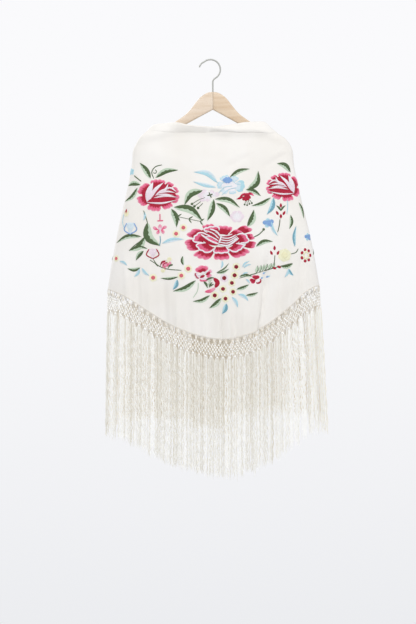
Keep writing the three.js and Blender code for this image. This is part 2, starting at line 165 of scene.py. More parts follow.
def drape(angle, v):
    """Points of the cloth's middle surface, in millimetres."""
    angle, v = np.broadcast_arrays(np.asarray(angle, float), np.asarray(v, float))
    across = np.sin(np.radians(angle))
    inward = (1 - np.abs(across) ** SECTION_POWER).clip(0) ** (1 / SECTION_POWER)
    reach, side_z, tilt, front_z, depth = (smooth_curve(ring_v, column, v) for column in rings.T)
    side_z = side_z + tilt * across
    towards_hem = v**HEM_ONSET
    hem_drop = HEM_FRONT - HEM_SIDE
    hem_share = (smooth_curve(front_hem[:, 0], front_hem[:, 1], across) - HEM_SIDE) / hem_drop
    share = lerp(1 - np.sqrt(across * across + SIDE_TURN), hem_share, towards_hem)
    way = along_wing(angle)
    wing_hem = np.where(
        angle < 0,
        smooth_curve(left_wing[:, 0], left_wing[:, 1], way),
        smooth_curve(right_wing[:, 0], right_wing[:, 1], way),
    )
    wing_share = (wing_hem - HEM_SIDE) * towards_hem / hem_drop
    outer = np.where(angle > 0, OUTER_WING_STEP * smoothstep(way, 0.35, 0.75), 0)
    in_front = np.abs(angle) <= 90
    x = lerp(HANGER_X, HEM_X, smoothstep(v, 0.5, 1)) + reach * across
    y = np.where(
        in_front,
        -(depth + fold_depth(front_folds, across, v)) * inward,
        (depth + outer + fold_depth(back_folds, across, v)) * inward,
    )
    z = side_z + (front_z - side_z) * np.where(in_front, share, wing_share)
    return np.stack([x, y, z], axis=-1)


def outward(angle, v):
    """Unit normals of the drape, pointing away from the hanger."""
    turn, step = 0.15, 0.003
    round_it = drape(angle + turn, v) - drape(angle - turn, v)
    down = drape(angle, np.minimum(v + step, 1)) - drape(angle, np.maximum(v - step, 0))
    normal = np.cross(down, round_it)
    return normal / np.linalg.norm(normal, axis=-1, keepdims=True)


def top_edge(angle):
    """How far down the rings the upper edge lies. Across the front it sags a little left of the middle."""
    sag = 0.05 * np.exp(-(((np.sin(np.radians(angle)) + 0.55) / 0.3) ** 2))
    way = along_wing(angle)
    left = smooth_curve(left_wing[:, 0], left_wing[:, 2], way)
    right = smooth_curve(right_wing[:, 0], right_wing[:, 2], way)
    return np.where(np.abs(angle) <= 90, sag, np.where(angle < 0, left, right))


print("front hem's lowest point in mm:", drape(np.array([5.0]), 1.0).round(1))

# %% [markdown]
# ## From arrays to pieces
# Cloth, stitches, knots and threads are thousands of small shapes. Each starts as one small template, made
# with a bmesh operator. Copies of the template are bent into place as arrays and joined into one mesh. That
# is quick, and it keeps the piece one object with one material.

# %% Templates and joined meshes
def grid_template(columns, rows):
    """A flat grid: across and along run from 0 to 1, and faces are rows of vertex numbers."""
    bm = bmesh.new()
    bmesh.ops.create_grid(bm, x_segments=columns, y_segments=rows, size=0.5)
    bm.verts.index_update()
    places = np.array([(v.co.x + 0.5, v.co.y + 0.5) for v in bm.verts])
    faces = np.array([[v.index for v in f.verts] for f in bm.faces])
    bm.free()
    return places[:, 0], places[:, 1], faces


def tube_template(sides, steps):
    """A grid rolled into a tube: its turn runs from 0 to 1 round it, and its way from 0 to 1 along it."""
    bm = bmesh.new()
    bmesh.ops.create_grid(bm, x_segments=sides, y_segments=steps, size=0.5)
    for vert in bm.verts:
        turn = 2 * math.pi * (vert.co.x + 0.5)
        vert.co = Vector((math.cos(turn), math.sin(turn), vert.co.y + 0.5))
    bmesh.ops.remove_doubles(bm, verts=bm.verts, dist=1e-4)
    bm.verts.index_update()
    places = np.array([(math.atan2(v.co.y, v.co.x) / (2 * math.pi) % 1, v.co.z) for v in bm.verts])
    faces = np.array([[v.index for v in f.verts] for f in bm.faces])
    bm.free()
    return places[:, 0], places[:, 1], faces


def placed(name, data):
    """An object for a mesh, lamp or camera, linked to the scene."""
    piece = bpy.data.objects.new(name, data)
    bpy.context.scene.collection.objects.link(piece)
    return piece


def joined(name, points, faces, material, uv=None, dye=None, shade=None, smooth=True):
    """One mesh object from points in millimetres, with an optional UV map, colour and tone."""
    mesh = bpy.data.meshes.new(name)
    mesh.from_pydata((points * MM).tolist(), [], faces)
    if uv is not None:
        corners = np.empty(len(mesh.loops), dtype=np.int32)
        mesh.loops.foreach_get("vertex_index", corners)
        mesh.uv_layers.new(name="thread").data.foreach_set("uv", uv[corners].ravel())
    if dye is not None:
        colour = mesh.color_attributes.new("dye", "FLOAT_COLOR", "POINT")
        colour.data.foreach_set("color", np.column_stack([dye, np.ones(len(dye))]).ravel())
    if shade is not None:
        mesh.attributes.new("shade", "FLOAT", "POINT").data.foreach_set("value", shade)
    if smooth:
        mesh.shade_smooth()
    else:
        mesh.shade_flat()
    mesh.materials.append(material)
    return placed(name, mesh)


def with_wall(piece, thickness):
    """Cloth gets its thickness, half on each side of its middle surface."""
    wall = piece.modifiers.new("wall", "SOLIDIFY")
    wall.thickness = thickness * MM
    wall.offset = 0
    return piece


def stacked(parts):
    """Several sets of copies as one. A part is its points, its faces, and then any other values a point."""
    firsts = np.cumsum([0] + [len(part[0]) for part in parts[:-1]])
    faces = [row for part, first in zip(parts, firsts) for row in (part[1] + first).tolist()]
    points, *values = (np.concatenate([part[i] for part in parts]) for i in range(len(parts[0])) if i != 1)
    return points, faces, *values


def repeated(faces, count, points_each):
    """The faces of a template for so many copies of it, numbered one after another."""
    return (faces[None] + points_each * np.arange(count)[:, None, None]).reshape(-1, faces.shape[1])


def linear(red, green, blue):
    """A colour as the eye reads it, 0 to 255, as the linear values that shaders take."""
    share = np.array([red, green, blue]) / 255
    return tuple(np.where(share <= 0.04045, share / 12.92, ((share + 0.055) / 1.055) ** 2.4))


def triangles(piece):
    """How many triangles a piece has, before its modifiers."""
    return sum(len(p.vertices) - 2 for p in piece.data.polygons)


# %% [markdown]
# ## Finishes
# The crepe is a matt ivory silk: its hard-twisted yarn gives a fine pebbled surface with a soft sheen.
# Embroidery and fringe are glossy floss, so their light runs in lines along the threads. Two small shader
# groups make those two effects, and every thread and cloth material takes its own values from them.

# %% Shader groups
def shader_group(name, inputs, outputs):
    """An empty node group with named sockets."""
    group = bpy.data.node_groups.new(name, "ShaderNodeTree")
    for label, kind, default in inputs:
        socket = group.interface.new_socket(name=label, in_out="INPUT", socket_type=kind)
        socket.default_value = default
    for label, kind in outputs:
        group.interface.new_socket(name=label, in_out="OUTPUT", socket_type=kind)
    start, end = group.nodes.new("NodeGroupInput"), group.nodes.new("NodeGroupOutput")
    return group, start, end


def added(tree, kind, **settings):
    """A new node whose sockets are set by their names."""
    node = tree.nodes.new("ShaderNode" + kind)
    for label, value in settings.items():
        node.inputs[label.replace("_", " ")].default_value = value
    return node


def math_node(tree, operation, first, second=None):
    """One step of arithmetic on sockets or plain numbers."""
    node = tree.nodes.new("ShaderNodeMath")
    node.operation = operation
    for socket, value in zip(node.inputs, (first, second)):
        if isinstance(value, (int, float)):
            socket.default_value = value
        elif value is not None:
            tree.links.new(value, socket)
    return node.outputs[0]


def make_crepe_grain():
    """Pebbled crepe: a fine relief, and a slow drift of tone where the cloth has taken the dye unevenly."""
    group, start, end = shader_group(
        "crepe_grain",
        [("Vector", "NodeSocketVector", (0, 0, 0)), ("Pebble size", "NodeSocketFloat", 0.0011)],
        [("Relief", "NodeSocketFloat"), ("Drift", "NodeSocketFloat")],
    )
    scale = math_node(group, "DIVIDE", 1.0, start.outputs["Pebble size"])
    pebble, yarn = added(group, "TexNoise", Detail=2), added(group, "TexVoronoi")
    drift = added(group, "TexNoise", Scale=9)
    for node in (pebble, yarn, drift):
        group.links.new(start.outputs["Vector"], node.inputs["Vector"])
    group.links.new(scale, pebble.inputs["Scale"])
    group.links.new(scale, yarn.inputs["Scale"])
    relief = math_node(group, "ADD", pebble.outputs[0], math_node(group, "MULTIPLY", yarn.outputs[0], 0.6))
    group.links.new(relief, end.inputs["Relief"])
    group.links.new(drift.outputs[0], end.inputs["Drift"])
    return group


def make_floss():
    """Floss: fine threads side by side. The UV map's U runs across the threads, in millimetres."""
    group, start, end = shader_group(
        "floss",
        [("UV", "NodeSocketVector", (0, 0, 0)), ("Thread width", "NodeSocketFloat", 0.45)],
        [("Relief", "NodeSocketFloat"), ("Tone", "NodeSocketFloat")],
    )
    split = added(group, "SeparateXYZ")
    group.links.new(start.outputs["UV"], split.inputs[0])
    count = math_node(group, "DIVIDE", split.outputs[0], start.outputs["Thread width"])
    wave = math_node(group, "SINE", math_node(group, "MULTIPLY", count, math.pi))
    ridge = math_node(group, "ABSOLUTE", wave)
    whole = math_node(group, "FLOOR", count)
    place = added(group, "CombineXYZ")
    group.links.new(whole, place.inputs[0])
    group.links.new(math_node(group, "MULTIPLY", split.outputs[1], 0.12), place.inputs[1])
    tone = added(group, "TexNoise", Scale=0.9)
    group.links.new(place.outputs[0], tone.inputs["Vector"])
    group.links.new(ridge, end.inputs["Relief"])
    group.links.new(tone.outputs[0], end.inputs["Tone"])
    return group


crepe_grain, floss = make_crepe_grain(), make_floss()
print("shader groups:", crepe_grain.name, floss.name)


# %% Materials of the cloth and threads
def new_material(name, roughness, **settings):
    """A material with a Principled shader whose even values are set on its own sockets."""
    material = bpy.data.materials.new(name)
    material.use_nodes = True
    shader = material.node_tree.nodes["Principled BSDF"]
    shader.inputs["Roughness"].default_value = roughness
    for label, value in settings.items():
        shader.inputs[label.replace("_", " ")].default_value = value
    return material, material.node_tree, shader


def place_group(tree, group, source, width_label, width):
    """A group in a material, with the material's own width of pebble or thread."""
    node = added(tree, "Group")
    node.node_tree = group
    tree.links.new(source, node.inputs[0])
    node.inputs[width_label].default_value = width
    return node


def mixed(tree, factor, first, second):
    """A colour between two, each a socket or a colour."""
    node = added(tree, "Mix")
    node.data_type = "RGBA"
    tree.links.new(factor, node.inputs["Factor"])
    for socket, value in ((node.inputs["A"], first), (node.inputs["B"], second)):
        if isinstance(value, tuple):
            socket.default_value = (*value, 1)
        else:
            tree.links.new(value, socket)
    return node.outputs["Result"]


def relief(tree, shader, height, distance, strength):
    """A bump so many metres high."""
    bump = added(tree, "Bump", Distance=distance, Strength=strength)
    tree.links.new(height, bump.inputs["Height"])
    tree.links.new(bump.outputs[0], shader.inputs["Normal"])


def contrast(tree, value, low, high):
    """A value spread out, so that low becomes 0 and high becomes 1."""
    node = added(tree, "MapRange", From_Min=low, From_Max=high)
    tree.links.new(value, node.inputs["Value"])
    return node.outputs[0]


def thread_nodes(tree, attribute, thread_width):
    """What both floss materials read: a value of each point, and the threads along the UV map."""
    value = added(tree, "Attribute")
    value.attribute_name = attribute
    uv = added(tree, "UVMap")
    uv.uv_map = "thread"
    return value, place_group(tree, floss, uv.outputs[0], "Thread width", thread_width)


def crepe_material(name, light, dark):
    """Matt crepe with a soft sheen."""
    material, tree, shader = new_material(name, 0.62, Sheen_Weight=0.25, Sheen_Roughness=0.4)
    place = added(tree, "TexCoord")
    grain = place_group(tree, crepe_grain, place.outputs["Object"], "Pebble size", 0.0011)
    colour = mixed(tree, contrast(tree, grain.outputs["Drift"], 0.35, 0.65), light, dark)
    tree.links.new(colour, shader.inputs["Base Color"])
    relief(tree, shader, grain.outputs["Relief"], 0.0003, 0.5)
    return material


def silk_material(name, light, dark, thread_width, glow):
    """White floss. Light scatters on inside a bundle of it, and a slight glow stands for that."""
    material, tree, shader = new_material(name, 0.4, Sheen_Weight=0.15, Emission_Strength=glow)
    shade, strands = thread_nodes(tree, "shade", thread_width)
    own_tone = math_node(tree, "MULTIPLY", shade.outputs["Fac"], 0.7)
    flecks = math_node(tree, "MULTIPLY", contrast(tree, strands.outputs["Tone"], 0.25, 0.75), 0.3)
    tone = math_node(tree, "ADD", own_tone, flecks)
    tree.links.new(mixed(tree, tone, dark, light), shader.inputs["Base Color"])
    shader.inputs["Emission Color"].default_value = (*light, 1)
    relief(tree, shader, strands.outputs["Relief"], 0.0002, 0.3)
    return material


def embroidery_material():
    """Dyed floss: each pad of stitches carries its own colours."""
    material, tree, shader = new_material("embroidery_floss", 0.45, Specular_IOR_Level=0.35)
    dye, strands = thread_nodes(tree, "dye", 0.55)
    deeper = added(tree, "HueSaturation", Value=0.92)
    tree.links.new(dye.outputs["Color"], deeper.inputs["Color"])
    tone = contrast(tree, strands.outputs["Tone"], 0.3, 0.7)
    tree.links.new(mixed(tree, tone, dye.outputs["Color"], deeper.outputs[0]), shader.inputs["Base Color"])
    relief(tree, shader, strands.outputs["Relief"], 0.0003, 0.7)
    return material


crepe = crepe_material("ivory_crepe", linear(246, 242, 235), linear(241, 236, 227))
fringe_silk = silk_material("fringe_floss", linear(255, 255, 253), linear(211, 205, 188), 0.4, 0.13)
# Painted shade: the wings' fringe hangs behind the front, so its copy of the floss is warmer and darker, with
# less glow.
shaded_fringe_silk = silk_material("fringe_floss_painted_shade", linear(252, 248, 239), linear(217, 205, 184), 0.4, 0.1)
net_silk = silk_material("net_cord", linear(255, 255, 253), linear(212, 199, 174), 0.5, 0.1)
embroidery_floss = embroidery_material()
cloth_finishes = (crepe, fringe_silk, shaded_fringe_silk, net_silk, embroidery_floss)
print("materials:", *(material.name for material in cloth_finishes))

# %% [markdown]
# ## The camera
# The photograph was taken straight on, from well back. The camera looks along +Y at the middle of the
# picture, and a long lens keeps the perspective as flat as in the photograph. The picture is 624 pixels
# high, at 2.5 mm a pixel.

# %% Camera
MM_PER_PIXEL, PICTURE_HEIGHT = 2.5, 624
CAMERA_DISTANCE, SENSOR = 5.2, 36
PICTURE_MIDDLE = (-0.006, -0.629)  # right of the hook and above it, in metres
camera = placed("camera", bpy.data.cameras.new("camera"))
camera.data.sensor_width = SENSOR
camera.data.lens = SENSOR * CAMERA_DISTANCE / (PICTURE_HEIGHT * MM_PER_PIXEL * MM)
camera.location = (PICTURE_MIDDLE[0], -CAMERA_DISTANCE, PICTURE_MIDDLE[1])
camera.rotation_euler = (math.radians(90), 0, 0)
bpy.context.scene.camera = camera
print("lens in mm:", round(camera.data.lens))

# %% [markdown]
# ## The crepe
# The shawl is one cloth, so it is one sheet. A flat grid is laid on the drape: its columns run round the
# hanger and its rows run down from the upper edge to the hem. The largest folds are in the drape, as in the
# solids. The creases come here: each row of a table is one soft ridge or trough that the photograph shows,
# or one like it behind, and the single sharp fold, low on the right, has a line of its own.

# %% The shawl's cloth
CLOTH_THICKNESS = 1.2
CLOTH_COLUMNS, CLOTH_ROWS = 420, 110  # the first and last rows are narrow, so that the edges stay crisp
drags = [  # front (1) or back (-1), then from x, z, to x, z, half width, height
    (1, -200, -202, -60, -168, 12, 4.6),
    (1, -90, -169, 60, -176, 12, 4.6),
    (1, 0, -178, 176, -180, 12, 5.6),
    (1, 110, -172, 212, -212, 12, 3.6),
    (1, -100, -158, -8, -162, 9, 2.4),
    (1, 190, -222, 150, -246, 9, 1.0),
    (1, 192, -232, 128, -272, 8, -1.7),
    (1, 104, -226, 36, -262, 9, 0.8),
    (1, 100, -236, 30, -274, 9, -1.3),
    (1, -168, -222, -40, -276, 20, 1.4),
    (1, -186, -272, -96, -310, 15, -1.5),
    (1, -206, -585, -215, -450, 7, 2.6),
    (1, -178, -606, -184, -470, 6, -2.8),
    (1, -151, -620, -156, -490, 7, 2.6),
    (1, -112, -642, -120, -480, 8, -3.4),
    (1, -82, -656, -86, -560, 6, 3.4),
    (1, -50, -672, -56, -580, 7, -4.0),
    (1, -14, -692, -18, -600, 6, 4.0),
    (1, 30, -694, 33, -580, 5, -8.0),
    (1, 47, -692, 48, -580, 6, 5.0),
    (1, 62, -688, 66, -600, 4.5, -4.0),
    (1, 84, -682, 88, -590, 8, 3.6),
    (1, 172, -622, 182, -480, 8, -4.6),
    (1, 197, -602, 210, -460, 8, 4.4),
    (1, 223, -584, 230, -430, 7, -3.8),
    (-1, -186, -216, -30, -330, 13, 4.4),
    (-1, 190, -218, 42, -322, 12, 4.2),
    (-1, -196, -250, -70, -392, 14, -3.6),
    (-1, 200, -256, 84, -400, 14, -3.6),
    (-1, -204, -300, -120, -440, 15, 3.0),
    (-1, 208, -310, 132, -450, 14, 2.8),
    (-1, -190, -560, -178, -400, 8, 4.0),
    (-1, 196, -550, 186, -380, 8, -4.0),
    (-1, -150, -572, -140, -430, 7, -3.6),
    (-1, -96, -566, -86, -420, 8, 3.8),
    (-1, -40, -600, -34, -470, 7, -3.4),
    (-1, 86, -556, 76, -400, 8, 3.8),
    (-1, 140, -552, 128, -420, 7, -3.8),
]
tuck = [(118, -666), (130, -629), (139, -561), (143, -474)]  # x, z along the sharp fold low on the right
TUCK_DEPTH, TUCK_SLOPE, TUCK_EDGE = 15.0, 15.0, 6.0


def creases(points):
    """Unevenness of the hanging cloth, in millimetres: a slow ripple, soft drags, and one sharp fold."""
    x, y, z = points[..., 0], points[..., 1], points[..., 2]
    height = 0.5 * np.sin(x / 31 + z / 57) * np.sin(z / 43 + 1) * smoothstep(-z, 180, 300)
    for side, x0, z0, x1, z1, width, rise in drags:
        run = math.hypot(x1 - x0, z1 - z0)
        ahead = ((x - x0) * (x1 - x0) + (z - z0) * (z1 - z0)) / run**2
        aside = ((x - x0) * (z1 - z0) - (z - z0) * (x1 - x0)) / run
        if abs(x1 - x0) < 0.3 * abs(z1 - z0):  # a steep one is deepest at the hem and fades upwards
            along = 1 - smoothstep(ahead, 0.2, 1.0)
        else:
            along = smoothstep(ahead, -0.1, 0.25) * (1 - smoothstep(ahead, 0.6, 1.1))
        height = height + rise * along * np.exp(-((aside / width) ** 2)) * smoothstep(-side * y, 0, 8)
    tuck_z, tuck_x = [z for x, z in tuck], [x for x, z in tuck]
    aside = x - np.interp(z, tuck_z, tuck_x)
    side_share = np.where(aside < 0, np.exp(aside / TUCK_SLOPE), np.exp(-aside / TUCK_EDGE))
    low_down = smoothstep(-z, 470, 560) * smoothstep(-y, 0, 8)
    return height - TUCK_DEPTH * side_share * low_down


def cloth_surface(angle, v, lift=0.0):
    """Points so far outside the cloth's middle surface."""
    middle = drape(angle, v)
    return middle + outward(angle, v) * (creases(middle) + lift)[..., None]


across, down, faces = grid_template(CLOTH_COLUMNS, CLOTH_ROWS)
angle = lerp(LEFT_END, RIGHT_END, across)
share = np.interp(1 - down, (0, 1 / CLOTH_ROWS, 1 - 1 / CLOTH_ROWS, 1), (0, 0.001, 0.9985, 1))
v = lerp(top_edge(angle), 1, share**1.1)
shawl_cloth = joined("shawl_cloth", cloth_surface(angle, v), faces.tolist(), crepe)
with_wall(shawl_cloth, CLOTH_THICKNESS)
print("shawl_cloth:", triangles(shawl_cloth), "triangles before its wall")

# %% [markdown]
# ## The turned-down edge
# Across the front the long edge of the shawl is folded down outwards, about 25 mm deep. The soft roll is a
# second grid: its rows follow a short profile, out from the neck edge, over the roll and down to the cloth.
# Its height fades towards both shoulders, and right of the middle its lower edge stands a little off the
# cloth, where the photograph has a thin line of shadow.

# %% The turned-down edge
ROLL_REACH = 0.93  # how far across the front the roll runs
ROLL_LOWER_Z = -182.0
ROLL_THICKNESS, ROLL_GAP = 0.8, 0.22
EDGE_RISE = 1.1  # how far the lower edge stands off the cloth
roll_profile = np.array([  # way over the roll, share of the way down, height above the cloth
    (0, -0.02, 0.0), (0.07, -0.02, 2.6), (0.15, 0.05, 4.6), (0.3, 0.2, 5.6), (0.45, 0.36, 5.4),
    (0.6, 0.54, 4.6), (0.74, 0.7, 3.5), (0.86, 0.84, 2.2), (0.94, 0.93, 1.0), (1, 1.0, 0.0),
])


def ring_at_height(angle, height):
    """How far down the rings the front comes to a height, by halving."""
    low, high = np.zeros_like(angle), np.ones_like(angle)
    for _ in range(24):
        middle = (low + high) / 2
        above = drape(angle, middle)[:, 2] > height
        low, high = np.where(above, middle, low), np.where(above, high, middle)
    return low


across, down, faces = grid_template(220, 28)
way = 2 * across - 1
angle = np.degrees(np.arcsin(ROLL_REACH)) * way
lower = ROLL_LOWER_Z - 2.2 * way + 1.2 * np.sin(5 * way + 0.6) + 0.7 * np.sin(13 * way)
down_share = smooth_curve(roll_profile[:, 0], roll_profile[:, 1], 1 - down)
height = smooth_curve(roll_profile[:, 0], roll_profile[:, 2], 1 - down)
notch = 1 - 0.5 * np.exp(-(((way + 0.07) / 0.035) ** 2)) - 0.15 * np.exp(-(((way - 0.3) / 0.1) ** 2))
flatter_left = lerp(lerp(1.15, 0.6, down_share), 1, smoothstep(way, -0.25, 0.1))
fade = smoothstep(1 - np.abs(way), 0, 0.45) * flatter_left
crisp = smoothstep(way, -0.12, 0.1) * (1 - smoothstep(way, 0.3, 0.75))  # where the edge stands off the cloth
soft = 1 + 0.12 * np.sin(11 * way + 2 * down) + 0.05 * np.sin(29 * way)
lift = ROLL_GAP + height * fade * notch * soft + EDGE_RISE * crisp * smoothstep(1 - down, 0.55, 0.95)
v = np.clip(lerp(top_edge(angle), ring_at_height(angle, lower), down_share), 0, 1)
turned_edge = joined("turned_top_edge_cloth", cloth_surface(angle, v, lift), faces.tolist(), crepe)
with_wall(turned_edge, ROLL_THICKNESS)
print("turned_edge:", triangles(turned_edge), "triangles before its wall")

# %% [markdown]
# ## The embroidery chart
# The flowers are satin stitch and long-and-short stitch, worked over padding, so each petal and leaf is a
# low crowned pad of threads. One helper, blade, makes them all: it is a strip that follows a centreline,
# with a left and a right edge given as functions. The chart is flat, with millimetres round the cloth and
# height, and at the end all of it is laid on the drape in one step.

# %% Laying flat work on the drape
CHART_STEPS = 14  # rounds in which a place on the chart is found
chart_angles = np.linspace(LEFT_END, RIGHT_END, 509)
chart_rings = np.linspace(0, 1, 161)
chart_points = drape(chart_angles[:, None], chart_rings[None, :])
steps = np.linalg.norm(np.diff(chart_points[..., :2], axis=0), axis=-1)
chart_round = np.concatenate([np.zeros((1, len(chart_rings))), np.cumsum(steps, axis=0)])
chart_round -= np.array([np.interp(0, chart_angles, column) for column in chart_round.T])
chart_height = chart_points[..., 2]
chart_guess = chart_round[:, 110]  # along a ring two thirds of the way down, for first guesses
LEAST_FALL, LEAST_TURN = -60, 0.4  # slopes nearer to level than these are taken as these, for steady steps


def read_chart(table, angle, v):
    """A table's value between its rows and columns, and its slopes there."""
    i = (angle - LEFT_END) / (chart_angles[1] - chart_angles[0])
    j = v * (len(chart_rings) - 1)
    i0 = np.clip(i.astype(int), 0, len(chart_angles) - 2)
    j0 = np.clip(j.astype(int), 0, len(chart_rings) - 2)
    a, b = i - i0, j - j0
    p, q, r, s = table[i0, j0], table[i0 + 1, j0], table[i0, j0 + 1], table[i0 + 1, j0 + 1]
    value = (1 - a) * (1 - b) * p + a * (1 - b) * q + (1 - a) * b * r + a * b * s
    round_slope = ((1 - b) * (q - p) + b * (s - r)) / (chart_angles[1] - chart_angles[0])
    down_slope = ((1 - a) * (r - p) + a * (s - q)) * (len(chart_rings) - 1)
    return value, round_slope, down_slope


def find_on_drape(round_it, height, angle):
    """The angle and ring of a place on the chart, from a first guess at the angle."""
    v = np.full_like(angle, 0.5)
    for _ in range(CHART_STEPS):
        here, _, slope = read_chart(chart_height, angle, v)
        v = np.clip(v + (height - here) / np.minimum(slope, LEAST_FALL), 0.02, 1)
        here, slope, _ = read_chart(chart_round, angle, v)
        angle = np.clip(angle + (round_it - here) / np.maximum(slope, LEAST_TURN), LEFT_END, RIGHT_END)
    return angle, v


def spots(points):
    """Places seen from the front, (x, z), as places on the chart, (round, z)."""
    points = np.atleast_2d(np.asarray(points, float))
    v = np.full(len(points), 0.5)
    for _ in range(CHART_STEPS):
        middle = lerp(HANGER_X, HEM_X, smoothstep(v, 0.5, 1))
        across = (points[:, 0] - middle) / smooth_curve(ring_v, rings[:, 0], v)
        angle = np.degrees(np.arcsin(np.clip(across, -0.995, 0.995)))
        here, _, slope = read_chart(chart_height, angle, v)
        v = np.clip(v + (points[:, 1] - here) / np.minimum(slope, LEAST_FALL), 0.02, 1)
    return np.column_stack([read_chart(chart_round, angle, v)[0], points[:, 1]])


def spot(x, z):
    """One such place."""
    return spots([(x, z)])[0]


print("the cloth is", round(float(np.ptp(chart_round[:, -1]))), "mm round the hem")

# %% Stitches
dye_table = {  # red, green and blue as the eye reads them
    "green": (84, 106, 66),
    "pale green": (206, 224, 198),
    "sky": (188, 230, 240),
    "ice": (226, 241, 247),
    "blue": (140, 178, 228),
    "teal": (122, 176, 194),
    "rose": (242, 108, 144),
    "pink": (249, 168, 190),
    "crimson": (184, 14, 52),
    "wine": (144, 18, 40),
    "blush": (251, 234, 241),
    "white": (255, 251, 253),
    "cream": (255, 252, 216),
    "yellow": (253, 248, 206),
    "coral": (232, 110, 122),
}
DYES = {name: np.array(linear(*colour)) for name, colour in dye_table.items()}
blade_grid = {size: grid_template(*size) for size in ((6, 12), (3, 10), (3, 30), (4, 6), (12, 12))}
stitched = []


def centreline(points, b):
    """Points and unit directions along a smooth line through a few points."""
    points = np.asarray(points, float)
    chord = np.concatenate([[0], np.cumsum(np.linalg.norm(np.diff(points, axis=0), axis=1))])
    share = chord / chord[-1]
    place = np.column_stack([smooth_curve(share, column, b) for column in points.T])
    ahead = np.column_stack([smooth_curve(share, column, np.minimum(b + 0.02, 1)) for column in points.T])
    behind = np.column_stack([smooth_curve(share, column, np.maximum(b - 0.02, 0)) for column in points.T])
    way = ahead - behind
    return place, way / np.linalg.norm(way, axis=1, keepdims=True), chord[-1]


def blade(points, left, right, dyes, lift=0.1, crown=0.8, size=(6, 12), satin=True):
    """A pad of stitches along a line of (round, z) points, between a left and a right edge."""
    a, b, faces = blade_grid[size]
    place, way, length = centreline(points, b)
    offset = lerp(left(b), right(b), a)
    side = np.column_stack([way[:, 1], -way[:, 0]])
    flat = place + side * offset[:, None]
    height = lift + crown * np.sqrt(np.clip(1 - (2 * a - 1) ** 2, 0, 1))
    width = np.abs(right(b) - left(b)).max()
    if satin:
        uv = np.column_stack([b * length + 0.7 * np.abs(offset), offset])
    else:
        uv = np.column_stack([(a - 0.5) * width, b * length])
    ragged = 0.09 * np.sin(19 * a + 3 * points[0][0])
    mix = smoothstep(b + ragged, 0.4, 0.7)[:, None]
    dye = lerp(DYES[dyes[0]], DYES[dyes[1]], mix)
    stitched.append((flat, faces, uv, dye, height))


def bent(start, end, bend):
    """A line from start to end that bows to its left by a share of its length."""
    start, end = np.asarray(start, float), np.asarray(end, float)
    way = end - start
    return [start, (start + end) / 2 + bend * np.array([-way[1], way[0]]), end]


def pointed(b):
    """An outline with a point at both ends: its half width, 0 to 1, along the line."""
    return np.sin(np.pi * np.clip(b, 0, 1) ** 0.85) ** 0.9


def round_tipped(b):
    """An outline with a narrow foot and a round tip."""
    return (0.35 + 0.65 * smoothstep(b, 0, 0.6)) * np.sqrt(1 - np.clip((b - 0.6) / 0.4, 0, 1) ** 2)


def disc(b):
    """A round or oval outline."""
    return np.sqrt(np.clip(1 - (2 * b - 1) ** 2, 0, 1))


def petal(start, end, width, dyes, outline=round_tipped, bend=0.0, lift=0.1, crown=0.8, size=(6, 12)):
    """A pad with the same outline on both sides, stitched along its length."""
    half = width / 2
    blade(
        bent(start, end, bend), lambda b: -half * outline(b), lambda b: half * outline(b),
        dyes, lift, crown, size, satin=False,
    )


def cord(points, width, dye, lift=0.2):
    """A stem or a corded line, narrower at its ends."""
    half = width / 2
    taper = lambda b: half * (0.5 + 0.5 * smoothstep(np.minimum(b, 1 - b), 0, 0.12))
    size = (3, 30) if len(points) > 6 else (3, 10)
    blade(points, lambda b: -taper(b), taper, (dye, dye), lift, min(width * 0.4, 0.8), size)


def dot(centre, diameter, dye, lift=0.5):
    """A round knot of floss."""
    s, z = centre
    half = diameter / 2
    line = [(s, z - half), (s, z), (s, z + half)]
    blade(line, lambda b: -half * disc(b), lambda b: half * disc(b), (dye, dye), lift, 0.9, (4, 6))


def leaf(start, end, width, bend=0.0, dark="green", pale="pale green", flip=1):
    """A leaf in two halves: the dark one has a saw-toothed inner edge, and the pale one lies beside it."""
    line = bent(start, end, bend)
    half = width / 2
    teeth = lambda b: 0.12 + 0.5 * np.abs((6 * b) % 1 - 0.5)
    inner = lambda b: flip * half * teeth(b) * pointed(b)
    dark_edge = lambda b: -flip * half * pointed(b)
    pale_edge = lambda b: flip * half * 1.1 * pointed(b)
    order = (dark_edge, inner) if flip > 0 else (inner, dark_edge)
    blade(line, *order, (dark, dark), 0.2, 0.8)
    order = (inner, pale_edge) if flip > 0 else (pale_edge, inner)
    blade(line, *order, (pale, pale), 0.1, 0.5)


print("dyes:", ", ".join(DYES))

# %% Flowers
DAISY_PETALS = 6


def ellipse(centre, width, height, angle):
    """A place on an oval round a motif's middle."""
    return beside(centre, width / 2 * math.cos(angle), height / 2 * math.sin(angle))


def beside(centre, right, up):
    """A place so far from a motif's middle."""
    return np.array([centre[0] + right, centre[1] + up])


def turned(centre, offset, turn):
    """A place beside a motif's middle, in a motif that is turned."""
    c, s = math.cos(turn), math.sin(turn)
    return np.array([centre[0] + c * offset[0] - s * offset[1], centre[1] + s * offset[0] + c * offset[1]])


def petals_beside(centre, rows, **settings):
    """Petals from rows of from x, z, to x, z, both from the motif's middle, width, and one dye or two."""
    for x0, z0, x1, z1, width, *dyes in rows:
        petal(beside(centre, x0, z0), beside(centre, x1, z1), width, (dyes[0], dyes[-1]), **settings)


def daisy(centre, diameter, petal_dye, heart_dye):
    """A small round flower with a dot for its heart."""
    for k in range(DAISY_PETALS):
        angle = 2 * math.pi * (k + 0.3) / DAISY_PETALS
        tip = ellipse(centre, diameter, diameter, angle)
        petal(centre, tip, diameter * 0.5, (petal_dye, petal_dye), size=(4, 6), crown=0.35)
    dot(centre, diameter * 0.52, heart_dye)


def ground(centre, width, height, dye, lift, turn=0.0):
    """An oval of plain filling."""
    line = [turned(centre, (x * width / 2, 0), turn) for x in (-1, 0, 1)]
    half = height / 2
    blade(line, lambda b: -half * disc(b), lambda b: half * disc(b), (dye, dye), lift, 0.4)


